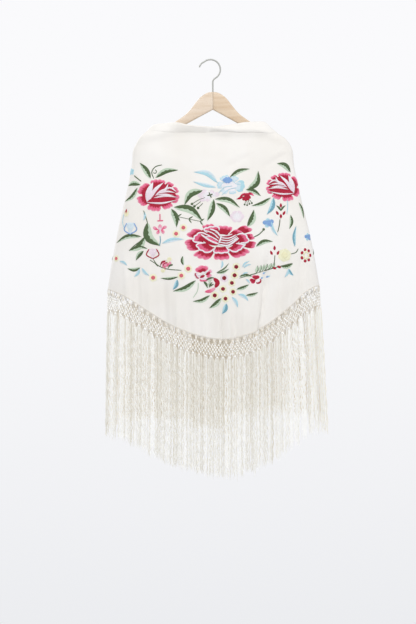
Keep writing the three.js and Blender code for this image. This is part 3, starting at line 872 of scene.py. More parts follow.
def petal_arc(centre, size, span, reaches, lobes, dyes, share=0.5, lift=0.1, rim=0.0):
    """A broad petal between two angles and two reaches. Its outer edge is lobed and may have a white cord."""
    a, b, faces = blade_grid[(12, 12)]
    inner, outer = reaches
    radius = (size[0] + size[1]) / 4
    margin = 1.3 / (radius * outer)
    turn = lerp(math.radians(span[0]) + margin, math.radians(span[1]) - margin, a)
    notches = 0.1 * (1 - np.abs(np.sin(np.pi * lobes * a)) ** 0.8)
    far = inner + (outer - inner) * (1 - 0.25 * np.abs(2 * a - 1) ** 5 - notches)
    reach = lerp(inner, far, b)
    directions = np.column_stack([reach * np.cos(turn), reach * np.sin(turn)])
    flat = np.asarray(centre) + np.array([size]) / 2 * directions
    crowned = np.sqrt(np.clip(1 - (2 * a - 1) ** 4, 0, 1) * np.clip(1 - (2 * b - 1) ** 4, 0, 1))
    uv = np.column_stack([turn * radius * (inner + outer) / 2, b * radius * (outer - inner)])
    long_and_short = b + 0.07 * np.sin(41 * turn)
    second = smoothstep(long_and_short, share - 0.05, share + 0.05)[:, None]
    third = smoothstep(long_and_short, lerp(share, 1, 0.55), 0.97)[:, None]
    dye = lerp(lerp(DYES[dyes[0]], DYES[dyes[1]], second), DYES[dyes[2]], third)
    stitched.append((flat, faces, uv, dye, lift + 0.8 * crowned))
    if rim:
        edge = flat[b > 0.999][np.argsort(a[b > 0.999])]
        sides = [flat[(abs(b - 0.25) < 0.02) & (a == end)][0] for end in (a.min(), a.max())]
        cord([sides[0], *edge, sides[1]], rim, "white", lift + 0.6)


wide_bloom = [  # from, to (degrees, anticlockwise from the right), inner and outer reach, lobes, inner ring
    (-104, -70, 0.5, 1.03, 3, 0), (-141, -106, 0.55, 1.12, 3, 0), (170, 216, 0.64, 1.03, 2, 0),
    (129, 165, 0.64, 1.06, 2, 0), (99, 124, 0.66, 1.05, 3, 0), (61, 98, 0.42, 0.92, 3, 0),
    (36, 60, 0.5, 0.88, 2, 0), (32, 56, 0.84, 1.18, 2, 0), (6, 30, 0.76, 1.03, 2, 0),
    (-24, 3, 0.76, 1.05, 2, 0), (-68, -27, 0.58, 1.06, 3, 0),
    (133, 184, 0.48, 0.8, 3, 1), (-173, -115, 0.36, 0.74, 3, 1), (-113, -60, 0.3, 0.64, 3, 1),
    (-58, -10, 0.42, 0.74, 3, 1), (-6, 39, 0.56, 0.84, 2, 1), (91, 127, 0.58, 0.88, 3, 1),
]
wide_lines = [  # white lines of its heart: three places from the middle, and the width
    (-3, -6, -25, 3, -47, 18, 4.2), (-4, 2, -23, 13, -45, 23, 2.8), (-3, 8, -16, 20, -36, 28, 2.8),
    (0, 14, -8, 25, -25, 32, 3.4), (-3, -7, 20, -9, 47, 9, 4.0), (-3, -1, 20, -3, 45, 11, 2.8),
    (-1, 5, 21, 3, 43, 14, 2.8), (1, 10, 22, 9, 40, 17, 2.8), (4, 14, 20, 16, 31, 19, 2.6),
    (-38, 12, -22, 12, -6, 4, 2.2), (3, 17, 1, 8, -3, -4, 3.6),
]
round_bloom = [
    (118, 176, 0.6, 1.0, 3, 0), (182, 230, 0.58, 1.03, 3, 0), (-126, -80, 0.5, 1.05, 3, 0),
    (-78, -39, 0.52, 0.99, 3, 0), (-37, 4, 0.66, 1.0, 2, 0), (7, 37, 0.7, 1.0, 2, 0),
    (38, 65, 0.7, 1.02, 2, 0), (66, 115, 0.66, 1.03, 4, 0),
]
round_tongues = [  # pale tongues of its heart: from x, z, to x, z, from the middle, width, bend
    (-28, -17, -12, 33, 15, 0.05), (-22, -12, 14, 32, 9, 0.08), (3, 9, 26, 29, 6, -0.2),
    (-8, -2, 30, 17, 5, 0.1), (20, 19, 46, 8, 4.5, 0.14), (0, 4, 44, 6, 4.5, 0.1), (-6, 0, 40, -1, 3.6, 0.06),
    (-12, -7, 50, -6, 5, 0.08), (-30, -18, 48, -12, 4.5, -0.06),
]


def peony(centre, width, height, mirror=1, rows=round_bloom):
    """A peony of broad petals. Its heart is crimson, with pale tongues or with waves of white lines."""
    wide = rows is wide_bloom
    for start, end, inner, outer, lobes, ring in rows:
        span = (start, end) if mirror > 0 else (180 - end, 180 - start)
        dyes = ("crimson", "rose", "rose" if ring else "pink")
        petal_arc(
            centre, (width, height), span, (inner, outer), lobes, dyes,
            share=0.68 if wide and not ring else 0.55, lift=0.1 + 0.5 * ring, rim=3.6 * ring,
        )
    scale = width / (172 if wide else 109)
    if wide:
        ground(beside(centre, -24, 11), 58, 34, "crimson", 0.9, -0.5)
        ground(beside(centre, 21, 4), 60, 28, "crimson", 0.8, 0.15)
        ground(beside(centre, -22, 5), 36, 9, "rose", 1.2, -0.42)
        for x0, z0, x1, z1, x2, z2, line_width in wide_lines:
            line = [beside(centre, x, z) for x, z in ((x0, z0), (x1, z1), (x2, z2))]
            cord(line, line_width, "white", 1.5)
        return
    ground(beside(centre, 2 * mirror * scale, 1), 0.78 * width, 0.74 * height, "crimson", 0.6)
    for x0, z0, x1, z1, tongue_width, bend in round_tongues:
        base = beside(centre, mirror * x0 * scale, z0 * height / 78)
        tip = beside(centre, mirror * x1 * scale, z1 * height / 78)
        petal(base, tip, tongue_width * scale, ("blush", "white"), pointed, mirror * bend, 1.3, 0.7)


def bell(centre, size, turn, dyes):
    """A hanging bell flower: a fan of four petals, and four stamens with dots below it."""
    for k in range(4):
        angle = turn + lerp(-0.75, 0.75, k / 3)
        tip = turned(centre, (size * 0.62, 0), angle)
        petal(centre, tip, size * 0.36, dyes, bend=0.12 * (k - 1.5), crown=0.7)
    for k in range(4):
        angle = turn + lerp(-0.42, 0.42, k / 3)
        end = turned(centre, (size * (1.02 + 0.07 * (k % 2)), 0), angle)
        cord(bent(turned(centre, (size * 0.55, 0), angle), end, 0.08), 1.3, "green")
        dot(end, 4.6, "green", 0.3)


def cup(centre, width, height, rim_dye, fill_dye):
    """A tulip cup: three pale petals inside a curved outline."""
    base = beside(centre, 0, -height / 2)
    for k in (-1, 0, 1):
        tip = beside(centre, k * width * 0.3, height * (0.5 - 0.06 * abs(k)))
        petal(base, tip, width * 0.46, (fill_dye, fill_dye), bend=0.16 * k, crown=0.5)
        if k:
            cord([base, beside(centre, k * width * 0.52, -height * 0.12), tip], 2.8, rim_dye, 0.6)


def sprig(line, pairs, length, width, dye):
    """A stem with pairs of small leaves."""
    cord(line, 1.4, dye)
    for k in range(pairs):
        place, way, _ = centreline(line, np.array([0.2 + 0.75 * k / (pairs - 1)]))
        heading = math.atan2(way[0, 1], way[0, 0])
        for side in (-1, 1):
            tip = turned(place[0], (length, 0), heading + side * 0.75)
            petal(place[0], tip, width, (dye, dye), pointed, crown=0.5, size=(4, 6))


print("flowers: daisy, peony, bell, cup, sprig")

# %% [markdown]
# ## The garden on the front
# The layout follows the photograph: three large peonies, with bell flowers, leaves and small yellow flowers
# in a garland between them. Places are in millimetres as seen from the front, right and up from the hook.
# Each short table holds one kind of motif.

# %% Leaves and stems of the front
leaves = [  # from x, z, to x, z, width, bend, side of the pale half
    (-149, -297, -176, -257, 14, -0.05, -1),
    (-137, -295, -80, -276, 13, 0.12, -1),
    (-174, -312, -206, -314, 12, -0.12, 1),
    (-181, -320, -212, -354, 11, 0.12, -1),
    (48, -295, 98, -273, 11, 0.1, 1),
    (92, -325, 119, -278, 16, -0.2, -1),
    (88, -325, 125, -341, 11, 0.1, 1),
    (-19, -327, -65, -364, 17, -0.2, 1),
    (8, -349, -8, -403, 15, 0.06, 1),
    (11, -349, 73, -370, 13, 0.14, 1),
    (14, -359, 49, -393, 13, 0.1, 1),
    (92, -417, 108, -375, 16, -0.1, 1),
    (150, -345, 102, -366, 10, 0.08, -1),
    (113, -467, 155, -454, 11, 0.14, 1),
    (-91, -369, -19, -404, 18, 0.16, 1),
    (-97, -373, -84, -419, 15, 0.1, 1),
    (-156, -406, -124, -465, 22, -0.24, -1),
    (-171, -442, -233, -457, 11, -0.12, -1),
    (-162, -442, -202, -477, 15, 0.16, -1),
    (-193, -473, -156, -472, 8, 0.12, 1),
    (-166, -477, -185, -501, 11, -0.08, 1),
    (-174, -519, -206, -521, 9, 0.14, 1),
    (-80, -542, -124, -545, 7, 0.06, 1),
    (-36, -551, -93, -578, 13, 0.1, -1),
    (-67, -513, -68, -490, 8, 0.1, 1),
    (-1, -588, -44, -603, 10, 0.12, -1),
    (27, -595, -3, -620, 12, 0.06, -1),
    (88, -588, 118, -580, 8, -0.08, 1),
    (65, -573, 96, -561, 9, -0.06, 1),
    (15, -532, 46, -508, 5, -0.1, 1),
    (16, -533, 46, -522, 6, -0.1, 1),
    (176, -517, 205, -509, 9, -0.12, 1),
    (199, -388, 196, -423, 9, 0.12, 1),
    (220, -356, 232, -396, 9, 0.1, 1),
    (199, -281, 165, -259, 14, -0.16, -1),
]
blue_leaves = [  # from x, z, to x, z, width, bend, tip dye
    (18, -308, -42, -281, 13, -0.16, "sky"),
    (14, -319, -43, -305, 9, 0.03, "sky"),
    (157, -345, 140, -387, 12, 0.12, "teal"),
    (210, -467, 213, -415, 8, 0.08, "teal"),
    (-120, -459, -66, -449, 10, 0.08, "sky"),
    (39, -608, 30, -634, 11, 0.1, "teal"),
    (53, -592, 68, -618, 9, 0.1, "sky"),
    (69, -585, 94, -602, 9, 0.12, "sky"),
    (-82, -549, -93, -574, 10, 0.12, "teal"),
    (79, -518, 97, -503, 5, 0.12, "sky"),
    (82, -520, 101, -511, 5, 0.1, "sky"),
    (79, -538, 94, -531, 5, 0.1, "sky"),
    (88, -548, 97, -558, 5, 0.1, "sky"),
    (150, -404, 167, -440, 8, -0.1, "sky"),
    (194, -522, 184, -543, 7, 0.1, "sky"),
    (194, -522, 206, -539, 7, -0.1, "teal"),
    (-225, -503, -206, -514, 7, 0.1, "sky"),
    (-176, -521, -189, -542, 8, 0.1, "sky"),
    (-170, -520, -152, -539, 8, -0.1, "sky"),
    (29, -502, 26, -521, 6, 0.1, "sky"),
    (-164, -380, -166, -402, 6, 0.1, "sky"),
]
stems = [  # width, dye, and places along the stem
    (1.8, "green", (-141, -297), (-146, -281), (-137, -268), (-120, -263)),
    (1.4, "green", (-143, -282), (-137, -284), (-134, -279), (-138, -275)),
    (2.2, "green", (-190, -289), (-182, -296), (-172, -304)),
    (1.8, "green", (-166, -377), (-161, -392), (-156, -408)),
    (1.8, "green", (-202, -477), (-186, -462), (-160, -445)),
    (1.6, "green", (-143, -496), (-132, -512), (-110, -522), (-72, -526)),
    (1.4, "green", (-150, -500), (-138, -508), (-130, -516)),
    (2.0, "green", (108, -443), (120, -437), (132, -425)),
    (1.7, "green", (72, -545), (110, -534), (150, -522), (203, -508)),
    (1.5, "green", (152, -521), (158, -507), (160, -488)),
    (1.6, "green", (218, -472), (212, -481), (200, -485)),
    (1.6, "green", (173, -398), (171, -414), (167, -431)),
    (1.6, "sky", (-215, -386), (-218, -406), (-212, -424)),
    (1.6, "pale green", (-30, -557), (-32, -576), (-43, -594)),
    (1.5, "sky", (191, -345), (192, -366), (190, -386)),
    (1.8, "teal", (-125, -440), (-124, -452), (-126, -464)),
]
for x0, z0, x1, z1, width, bend, side in leaves:
    start, end = spots([(x0, z0), (x1, z1)])
    leaf(start, end, width, bend, flip=side)
for x0, z0, x1, z1, width, bend, tip_dye in blue_leaves:
    start, end = spots([(x0, z0), (x1, z1)])
    leaf(start, end, width, bend, dark=tip_dye, pale="ice" if tip_dye == "sky" else "sky")
for width, dye, *places in stems:
    cord(spots(places), 1.3 * width, dye)
dot(spot(132, -424), 6.5, "green")
print("leaves:", len(leaves) + len(blue_leaves), "stems:", len(stems))

# %% Flowers of the front
peonies = [  # x, z, width, height, which way its heart leans, its petals
    (24, -455, 172, 89, 1, wide_bloom),
    (-130, -339, 109, 78, 1, round_bloom),
    (184, -318, 94, 70, -1, round_bloom),
]
daisies = [  # x, z, diameter, petals, heart
    (11, -588, 18, "cream", "wine"),
    (37, -596, 17, "cream", "wine"),
    (56, -579, 17, "cream", "wine"),
    (31, -572, 17, "cream", "wine"),
    (53, -557, 17, "cream", "wine"),
    (60, -538, 18, "cream", "wine"),
    (64, -517, 18, "cream", "wine"),
    (34, -545, 19, "blush", "wine"),
    (-67, -420, 17, "cream", "coral"),
    (-85, -435, 17, "cream", "coral"),
    (-55, -522, 18, "cream", "coral"),
    (-72, -539, 17, "cream", "coral"),
    (-142, -544, 18, "cream", "coral"),
    (-234, -496, 15, "cream", "coral"),
    (184, -488, 30, "cream", "yellow"),
]
for x, z, width, height, mirror, rows in peonies:
    peony(spot(x, z), width, height, mirror, rows)
for x, z, diameter, petals, heart in daisies:
    daisy(spot(x, z), 1.12 * diameter, petals, heart)

small_peony = [  # from, to, inner and outer reach, lobes, dyes
    (40, 172, 0.2, 1.0, 3, ("crimson", "rose", "pink")),
    (174, 240, 0.55, 0.98, 2, ("blush", "crimson", "blush")),
    (242, 304, 0.62, 1.08, 2, ("blush", "rose", "pink")),
    (-54, -4, 0.5, 0.98, 2, ("rose", "pink", "blush")),
    (0, 37, 0.4, 1.0, 2, ("rose", "pink", "blush")),
]
centre = spot(-18, -533)
for start, end, inner, outer, lobes, dyes in small_peony:
    petal_arc(centre, (48, 40), (start, end), (inner, outer), lobes, dyes, lift=0.2)
wave = ((-17, -2), (-8, -5), (0, 1), (8, 3), (16, 8))
cord([beside(centre, x, z) for x, z in wave], 2.8, "white", 0.9)
for x, z, turn in ((-2, -8, 0.45), (12, -1, 0.5)):
    ground(beside(centre, x, z), 13, 6, "crimson", 0.8, turn)

blue_flower = spot(50, -314)
blue_petals = [  # from, to, inner and outer reach, dyes
    (-52, 38, 0.45, 1.0, ("ice", "sky", "sky")), (40, 92, 0.3, 0.9, ("ice", "ice", "sky")),
    (94, 150, 0.3, 1.0, ("ice", "ice", "sky")), (152, 208, 0.3, 0.95, ("white", "ice", "sky")),
    (210, 256, 0.3, 0.92, ("white", "ice", "ice")), (258, 306, 0.3, 0.85, ("white", "ice", "sky")),
]
ground(blue_flower, 34, 26, "white", 0.1)
for start, end, inner, outer, dyes in blue_petals:
    petal_arc(blue_flower, (72, 54), (start, end), (inner, outer), 3, dyes)
blue_lines = ((-28, -6, -4, 8, 0.2), (-30, -20, 4, -2, 0.15), (-22, -25, 14, -6, 0.1), (6, 12, 26, 2, -0.2))
for x0, z0, x1, z1, bend in blue_lines:
    cord(bent(beside(blue_flower, x0, z0), beside(blue_flower, x1, z1), bend), 1.5, "sky", 0.8)
for k in range(6):
    heart = beside(blue_flower, -7.5, 12.5)
    petal(heart, ellipse(heart, 25, 15, 2 * math.pi * k / 6), 9, ("blue", "blue"), lift=0.8)
small_blue = spots([(144, -408), (243, -442), (-197, -279)])
for centre, size, dye in zip(small_blue, (30, 24, 22), ("blue", "blue", "sky")):
    for k in range(5):
        tip = ellipse(centre, size, size * 0.8, 2 * math.pi * k / 5 + 0.5)
        petal(centre, tip, size * 0.36, (dye, "sky" if k % 2 else dye), crown=0.6)

red_bell = spot(88, -341)
bell(red_bell, 21, -1.3, ("crimson", "crimson"))
petal_arc(red_bell, (30, 16), (10, 172), (0, 1), 4, ("crimson", "crimson", "rose"), lift=0.4)
side_petals = ((-8, 6, -24, -8, 7, "crimson"), (3, 5, 20, 0, 7, "crimson", "rose"))
petals_beside(red_bell, side_petals, outline=pointed, bend=0.2)
pink_bell = spot(-1, -339)
for x, z, width in ((-20, 12, 14), (-31, -1, 15), (-26, -14, 13), (-9, -16, 11), (24, 3, 12), (8, 12, 12)):
    petal(pink_bell, beside(pink_bell, x, z), width, ("white", "blush"), crown=0.5)
for x0, z0, x1, z1 in ((-27, -11, -45, -22), (-23, -16, -39, -28), (-18, -20, -30, -32), (-27, -11, -12, -6)):
    start, end = beside(pink_bell, x0, z0), beside(pink_bell, x1, z1)
    cord([start, (start + end) / 2, end], 1.6, "green", 0.4)
    if x1 < -20:
        dot(end, 6.5, "green", 0.4)
for turn in (0.4, 1.9, 3.3, 5.2):
    petal(pink_bell, turned(pink_bell, (8, 0), turn), 3.4, ("green", "green"), pointed, lift=0.7, size=(4, 6))
pale_flower = spot(66, -392)
for k in range(6):
    petal(pale_flower, ellipse(pale_flower, 36, 30, 2 * math.pi * k / 6), 14, ("white", "blush"), crown=0.4)
cup(spot(-199, -421), 32, 30, "blue", "ice")
cup(spot(-143, -484), 30, 26, "crimson", "blush")
bud = spot(-210, -383)
petals_beside(bud, ((-2, -9, 2, 11, 8, "yellow", "crimson"), (3, -9, 8, 6, 5, "yellow")), outline=pointed)

pink_sprig = spot(-125, -415)
cord([beside(pink_sprig, 0, 30), beside(pink_sprig, 0, 14)], 3, "rose")
cord([beside(pink_sprig, -7, 12), beside(pink_sprig, 8, 13)], 3.4, "rose")
for x, z in ((-17, -2), (17, -2), (-9, -20), (9, -20)):
    petals_beside(pink_sprig, [(x * 0.25, -10, x, z, 8, "rose", "pink")], bend=0.1)
petal(beside(pink_sprig, 0, -16), beside(pink_sprig, 0, 4), 10, ("blush", "pink"))
striped_petals = (
    (3, 3, 12, 15, 11, "cream", "yellow"), (-6, -8, -15, -17, 10, "cream", "yellow"),
    (3, -10, 16, -1, 5, "green"), (0, -6, 12, 4, 9, "rose", "pink"), (-5, -13, 0, 2, 8, "rose", "pink"),
    (-11, -8, -3, 5, 6, "pink", "rose"), (-17, -4, -2, 9, 4.5, "wine", "crimson"),
    (-12, -8, 3, 5, 4, "wine", "crimson"),
)
petals_beside(spot(-108, -511), striped_petals, bend=0.2, lift=0.2)

crescent = spot(0, -557)
blade(
    [beside(crescent, x, z) for x, z in ((8, 12), (18, 1), (12, -12))],
    lambda b: -5.5 * disc(b), lambda b: 6 * disc(b), ("crimson", "crimson"), 0.3,
)
petal(beside(crescent, -14, -22), beside(crescent, 13, -12), 9, ("rose", "pink"), disc, -0.1)
crescent_leaves = (
    (-17, 4, -7, -13, 6, "green"), (-12, 6, 10, 13, 5, "green"), (-8, -10, 2, 4, 4, "pale green"),
    (-3, -12, 5, 2, 4, "green"), (-6, 3, 6, 8, 3.5, "pale green"), (0, -9, 9, -3, 3.5, "green"),
)
petals_beside(crescent, crescent_leaves, outline=pointed, bend=0.1, lift=0.5)
bud = spot(112, -549)
for span in ((24, 150), (152, 262)):
    petal_arc(bud, (30, 24), span, (0, 1), 2, ("crimson", "crimson", "rose"))
petal_arc(bud, (34, 24), (-90, 20), (0.3, 1), 1, ("white", "crimson", "crimson"))
leaf(*spots([(72, -541), (104, -541)]), 8, 0.1)
red_buds = [  # x, z, turn
    (175, -364, 0), (166, -383, 0.5), (175, -391, 0), (183, -383, -0.5), (159, -470, 0),
    (151, -482, 0.5), (168, -482, -0.5), (158, -520, 1.2), (170, -517, 1.2),
]
for x, z, turn in red_buds:
    centre = spot(x, z)
    foot, tip = (turned(centre, (0, z), turn) for z in (-6, 6))
    petal(foot, tip, 6.5, ("crimson", "crimson"), pointed, size=(4, 6))
for side in (-1, 1):
    foot, tip = spots([(175, -378), (175 + 12 * side, -364)])
    petal(foot, tip, 5, ("green", "green"), pointed, 0.1 * side, size=(4, 6))
for x, z in ((136, -532), (144, -541), (130, -544)):
    petals_beside(spot(x, z), [(-5, -2, 5, 2, 5, "blue", "sky")], outline=pointed, size=(4, 6))
wreath = spot(238, -488)
for k in range(7):
    angle = 2 * math.pi * k / 7
    foot, tip = (ellipse(wreath, 26, 30, angle + half) for half in (-0.3, 0.3))
    petal(foot, tip, 8, ("crimson", "crimson"), disc)
    dot(ellipse(wreath, 14, 17, angle), 6, "yellow", 0.2)
for k in range(6):
    foot = spot(113 + 8 * k, -533 + 2.5 * k)
    tip = beside(foot, 4 + k * 0.5, 19 - k)
    petal(foot, tip, 8, ("pale green", "pale green"), pointed, size=(4, 6))
    cord(bent(foot, tip, -0.15), 1.6, "green", 0.5)
sprig(spots([(-97, -388), (-70, -395), (-22, -405)]), 3, 13, 3.5, "green")
print("stitched pads on the front:", len(stitched))

# %% [markdown]
# ## The ends of the shawl, behind
# The back isn't in the photograph. Such a shawl has a smaller sprig towards each of its two ends, so one is
# worked on each wing: a peony between leaves, with a short garland.

# %% Sprigs on the wings
def wing_sprig(middle, z, side):
    """A peony, four leaves and a short garland, at a place on the chart."""
    centre = np.array([middle, z])
    peony(centre, 66, 50, side)
    sprig_leaves = ((34, 30, 13, 0.1), (-36, 26, 12, -0.1), (30, -40, 12, -0.12), (-34, -38, 13, 0.12))
    for dx, dz, width, bend in sprig_leaves:
        start = centre + np.array([dx, dz]) * 0.75
        leaf(start, centre + np.array([dx, dz]) * 1.75, width, bend, flip=side)
    cord([centre + np.array(p) for p in ((-6, -26), (-4 * side, -52), (10 * side, -78))], 1.8, "green")
    for dx, dz, heart in ((14, -84, "wine"), (-4, -66, "coral"), (24, -62, "wine")):
        daisy(centre + np.array([dx * side, dz]), 16, "cream", heart)
    leaf(beside(centre, 4 * side, -70), beside(centre, -20 * side, -92), 9, 0.1, "teal", "sky", side)


WING_MIDDLE_ANGLE = 140
wing_middle = float(np.interp(WING_MIDDLE_ANGLE, chart_angles, chart_guess))
wing_sprig(-wing_middle, -430, 1)
wing_sprig(wing_middle, -420, -1)

# %% The embroidery as one piece
flat, faces, uv, dye, height = stacked(stitched)
start = np.interp(flat[:, 0], chart_guess, chart_angles)
angle, v = find_on_drape(flat[:, 0], flat[:, 1], start)
points = cloth_surface(angle, v, CLOTH_THICKNESS / 2 + height)
embroidery = joined("embroidery", points, faces, embroidery_floss, uv, dye)
print("embroidery:", triangles(embroidery), "triangles")

# %% [markdown]
# ## Net and fringe
# Locks of floss are drawn through the hem, tied in pairs, divided and tied again. That makes rows of
# diamonds, and below the last row of knots each lock hangs free. The hem is divided into whole pitches, and
# a place in the net is a number of pitches along the hem and a drop below it. The knots are tied by hand, so
# each sits a little off its place, and both the net and the fringe sway in and out with the folds above.

# %% Where the locks hang
LOCK_PITCH = 15.0
NET_DROP, NET_DROP_AT_SIDES = 45.0, 53.0
FRINGE_DROP, FRINGE_DROP_AT_SIDES = 340.0, 360.0
LEAN_LEFT, LEAN_RIGHT = 0.015, 0.055  # how far the sides of the fringe hang outwards, for each mm down
FOLDS_FADE = 80.0


def near_sides(angle):
    """1 at the two sides, and 0 in the middle of the front and along the wings."""
    front = np.sin(np.radians(angle)) ** 2
    return np.where(np.abs(angle) <= 90, front, (1 - along_wing(angle)) ** 3)


def net_drop(angle):
    """How far below the hem the last row of knots hangs."""
    return lerp(NET_DROP, NET_DROP_AT_SIDES, near_sides(angle))


def fringe_point(angle, drop):
    """A place so far below the hem. The folds of the cloth fade on their way down the threads."""
    across = np.sin(np.radians(angle))
    lean = np.where(across < 0, LEAN_LEFT, LEAN_RIGHT)
    point = drape(angle, np.ones_like(angle))
    wave = creases(point) * np.exp(-drop / FOLDS_FADE)
    point += hem_directions(angle)[1] * wave[..., None]
    point[..., 0] += lean * across**3 * drop
    point[..., 2] -= drop
    return point


def hem_directions(angle):
    """Unit directions along the hem and outwards from it, both level."""
    ones = np.ones_like(angle)
    along = drape(angle + 0.3, ones) - drape(angle - 0.3, ones)
    along[..., 2] = 0
    along /= np.linalg.norm(along, axis=-1, keepdims=True)
    return along, np.stack([along[..., 1], -along[..., 0], np.zeros(along.shape[:-1])], axis=-1)


stretches = []
for start, end in ((LEFT_END, -90.0), (-90.0, 90.0), (90.0, RIGHT_END)):
    angle = np.linspace(start, end, 600)
    plan = drape(angle, np.ones_like(angle))[:, :2]
    travelled = np.concatenate([[0], np.cumsum(np.linalg.norm(np.diff(plan, axis=0), axis=1))])
    count = round(travelled[-1] / LOCK_PITCH)
    stretches.append(np.interp((np.arange(count) + 0.5) / count * travelled[-1], travelled, angle))
lock_angles = np.concatenate(stretches)
LOCKS = len(lock_angles)


def hem_angle(pitches):
    """The angle at so many pitches along the hem."""
    places = np.concatenate([[-0.5], np.arange(LOCKS), [LOCKS - 0.5]])
    return np.interp(pitches, places, np.concatenate([[LEFT_END], lock_angles, [RIGHT_END]]))


print("locks on each stretch:", [len(part) for part in stretches])

# %% The knotted net
NET_ROWS = (0.17, 0.32, 0.46, 0.59, 0.72, 0.85, 1.0)  # shares of the net's drop at its rows of knots
KNOT_WIDTH, KNOT_HEIGHT, TYING_KNOT = 4.6, 4.2, 1.5  # the knots that tie whole locks are wider by the last
HEM_THREADS, SIDE_THREADS = 7, 3  # threads from the hem to each first knot, and from knot to knot
rng = np.random.default_rng(7)


def round_threads(middle, along, outwards, sideways, depth, radius, turn):
    """Points round so many threads, each about its own line beside the middle one."""
    ring_along, ring_out = radius * np.cos(2 * np.pi * turn), radius * np.sin(2 * np.pi * turn)
    return middle + along * (sideways + ring_along)[..., None] + outwards * (depth + ring_out)[..., None]


def threads_between(start, end, count, spread, thickness, bow=0.0):
    """Bundles of threads from one row of (pitch, share of the drop) places to another."""
    turn, way, faces = tube_template(3, 4)
    k = np.repeat(np.arange(len(start)), count)
    across = np.tile(np.linspace(-1, 1, count), len(start)) + rng.normal(0, 0.12, len(k))
    out = rng.uniform(-0.5, 0.5, len(k))
    t = way[None, :]
    pitch = lerp(start[k, 0][:, None], end[k, 0][:, None], t)
    share = lerp(start[k, 1][:, None], end[k, 1][:, None], t)
    angle = hem_angle(pitch)
    along, outwards = hem_directions(angle)
    middle = fringe_point(angle, share * net_drop(angle))
    belly = np.sin(np.pi * t)
    offset = across[:, None] * spread(t) + bow * belly * np.sign(end[k, 0] - start[k, 0])[:, None]
    depth = out[:, None] * (0.4 + 0.8 * belly)
    points = round_threads(middle, along, outwards, offset, depth, thickness / 2, turn)
    uv = np.stack(np.broadcast_arrays(turn[None, :] * thickness * 3 + 0 * t, way[None, :] * 14), axis=-1)
    uv = np.broadcast_to(uv, (len(k), *uv.shape[1:]))
    # Painted light: the net's threads are paler towards the sides.
    tone = rng.uniform(0.0, 0.8, len(k)) + 0.3 * near_sides(angle[:, 0])
    shade = np.repeat(np.clip(tone, 0, 1), len(turn))
    return points.reshape(-1, 3), repeated(faces, len(k), len(turn)), uv.reshape(-1, 2), shade


def knots_at(pitch, share, wide, tall, deep, shades):
    """Tight knots: small round shapes with a pinched waist."""
    bm = bmesh.new()
    bmesh.ops.create_uvsphere(bm, u_segments=6, v_segments=5, radius=1)
    bmesh.ops.triangulate(bm, faces=bm.faces[:])
    ball = np.array([v.co[:] for v in bm.verts])
    faces = np.array(sorted([v.index for v in f.verts] for f in bm.faces))  # the same order at each run
    bm.free()
    angle = hem_angle(pitch)
    along, outwards = hem_directions(angle)
    middle = fringe_point(angle, share * net_drop(angle))
    size = rng.uniform(0.85, 1.12, (len(pitch), 1))
    tilt = rng.uniform(-0.5, 0.5, (len(pitch), 1))
    x, y, z = (ball[:, i][None, :] for i in range(3))
    pinch = 1 + 0.18 * np.cos(3 * z + 4 * x)
    u = wide / 2 * size * (x * pinch + tilt * z)
    w = deep / 2 * size * y * pinch
    h = tall / 2 * size * (z - tilt * 0.4 * x)
    up = np.array([0, 0, 1.0])
    level = middle[:, None] + along[:, None] * u[..., None] + outwards[:, None] * w[..., None]
    points = level + up * h[..., None]
    wound = np.stack([ball[:, 0] * 2 + ball[:, 2], ball[:, 2]], axis=-1)
    uv = np.broadcast_to(wound, (len(pitch), len(ball), 2))
    shade = np.repeat(rng.uniform(*shades, len(pitch)), len(ball))
    return points.reshape(-1, 3), repeated(faces, len(pitch), len(ball)), uv.reshape(-1, 2), shade


halves = np.arange(LOCKS + 1) - 0.5  # knots under the hem, between the locks of the fringe
outer_quarters = np.arange(2 * LOCKS) / 2 - 0.25
inner_quarters = np.arange(2 * LOCKS + 1) / 2 - 0.5
whole = np.arange(LOCKS, dtype=float)  # knots from which the fringe hangs
knot_rows = [halves, *(outer_quarters, inner_quarters) * 2, outer_quarters, whole]
tied = []  # each row's knots: where the pattern has them, and where they were tied by hand
for pitch, share in zip(knot_rows, NET_ROWS):
    slip = 0 if pitch is whole else 1
    tied.append((pitch, np.column_stack([
        pitch + slip * rng.normal(0, 0.035, len(pitch)), share + slip * rng.normal(0, 0.012, len(pitch)),
    ])))
at_hem = np.column_stack([halves, np.full(LOCKS + 1, -0.01)])
net_parts = [threads_between(at_hem, tied[0][1], HEM_THREADS, lambda t: lerp(2.9, 2.0, t), 1.6)]
belly = lambda t: 0.5 + 0.4 * np.sin(np.pi * t)
for (above, start), (below, end) in zip(tied, tied[1:]):
    for side in (-0.25, 0.25):
        upper, lower = np.isin(above + side, below), np.isin(below - side, above)
        net_parts.append(threads_between(start[upper], end[lower], SIDE_THREADS, belly, 1.1, 0.5))
for pitch, places in tied:
    wide = TYING_KNOT if len(pitch) <= LOCKS + 1 else 1.0
    # Painted light and shade: the knots below the first row are paler than the threads between them, which
    # carry painted shade of the gaps.
    shades = (0.0, 0.55) if pitch is halves else (0.85, 1.0)  # the first row is the warmest
    width, height = KNOT_WIDTH * wide, KNOT_HEIGHT * wide**0.5
    net_parts.append(knots_at(places[:, 0], places[:, 1], width, height, KNOT_WIDTH, shades))
points, faces, uv, shade = stacked(net_parts)
net = joined("knotted_net", points, faces, net_silk, uv, shade=shade, smooth=False)  # flat suits thin threads
print("knotted_net:", triangles(net), "triangles")

# %% [markdown]
# ## The fringe
# Each lock is a bundle of crimped floss threads. They leave the knot together, spread to about 15 mm and
# wave side by side, because the floss was pressed in its hank. The threads of a lock share one slow wave,
# and each adds a small one of its own. Two threads that lie together share a tone.

# %% The fringe threads
THREADS, THREAD_STEPS, THREAD_RADIUS = 18, 38, 0.62
LOCK_WAVE, THREAD_WAVE = 0.8, 1.3  # how far a lock sways, and how far each thread of it waves
MIDDLE_PAINTED_SHADE = 0.22  # how much the front's middle darkens towards the net and pales towards its ends


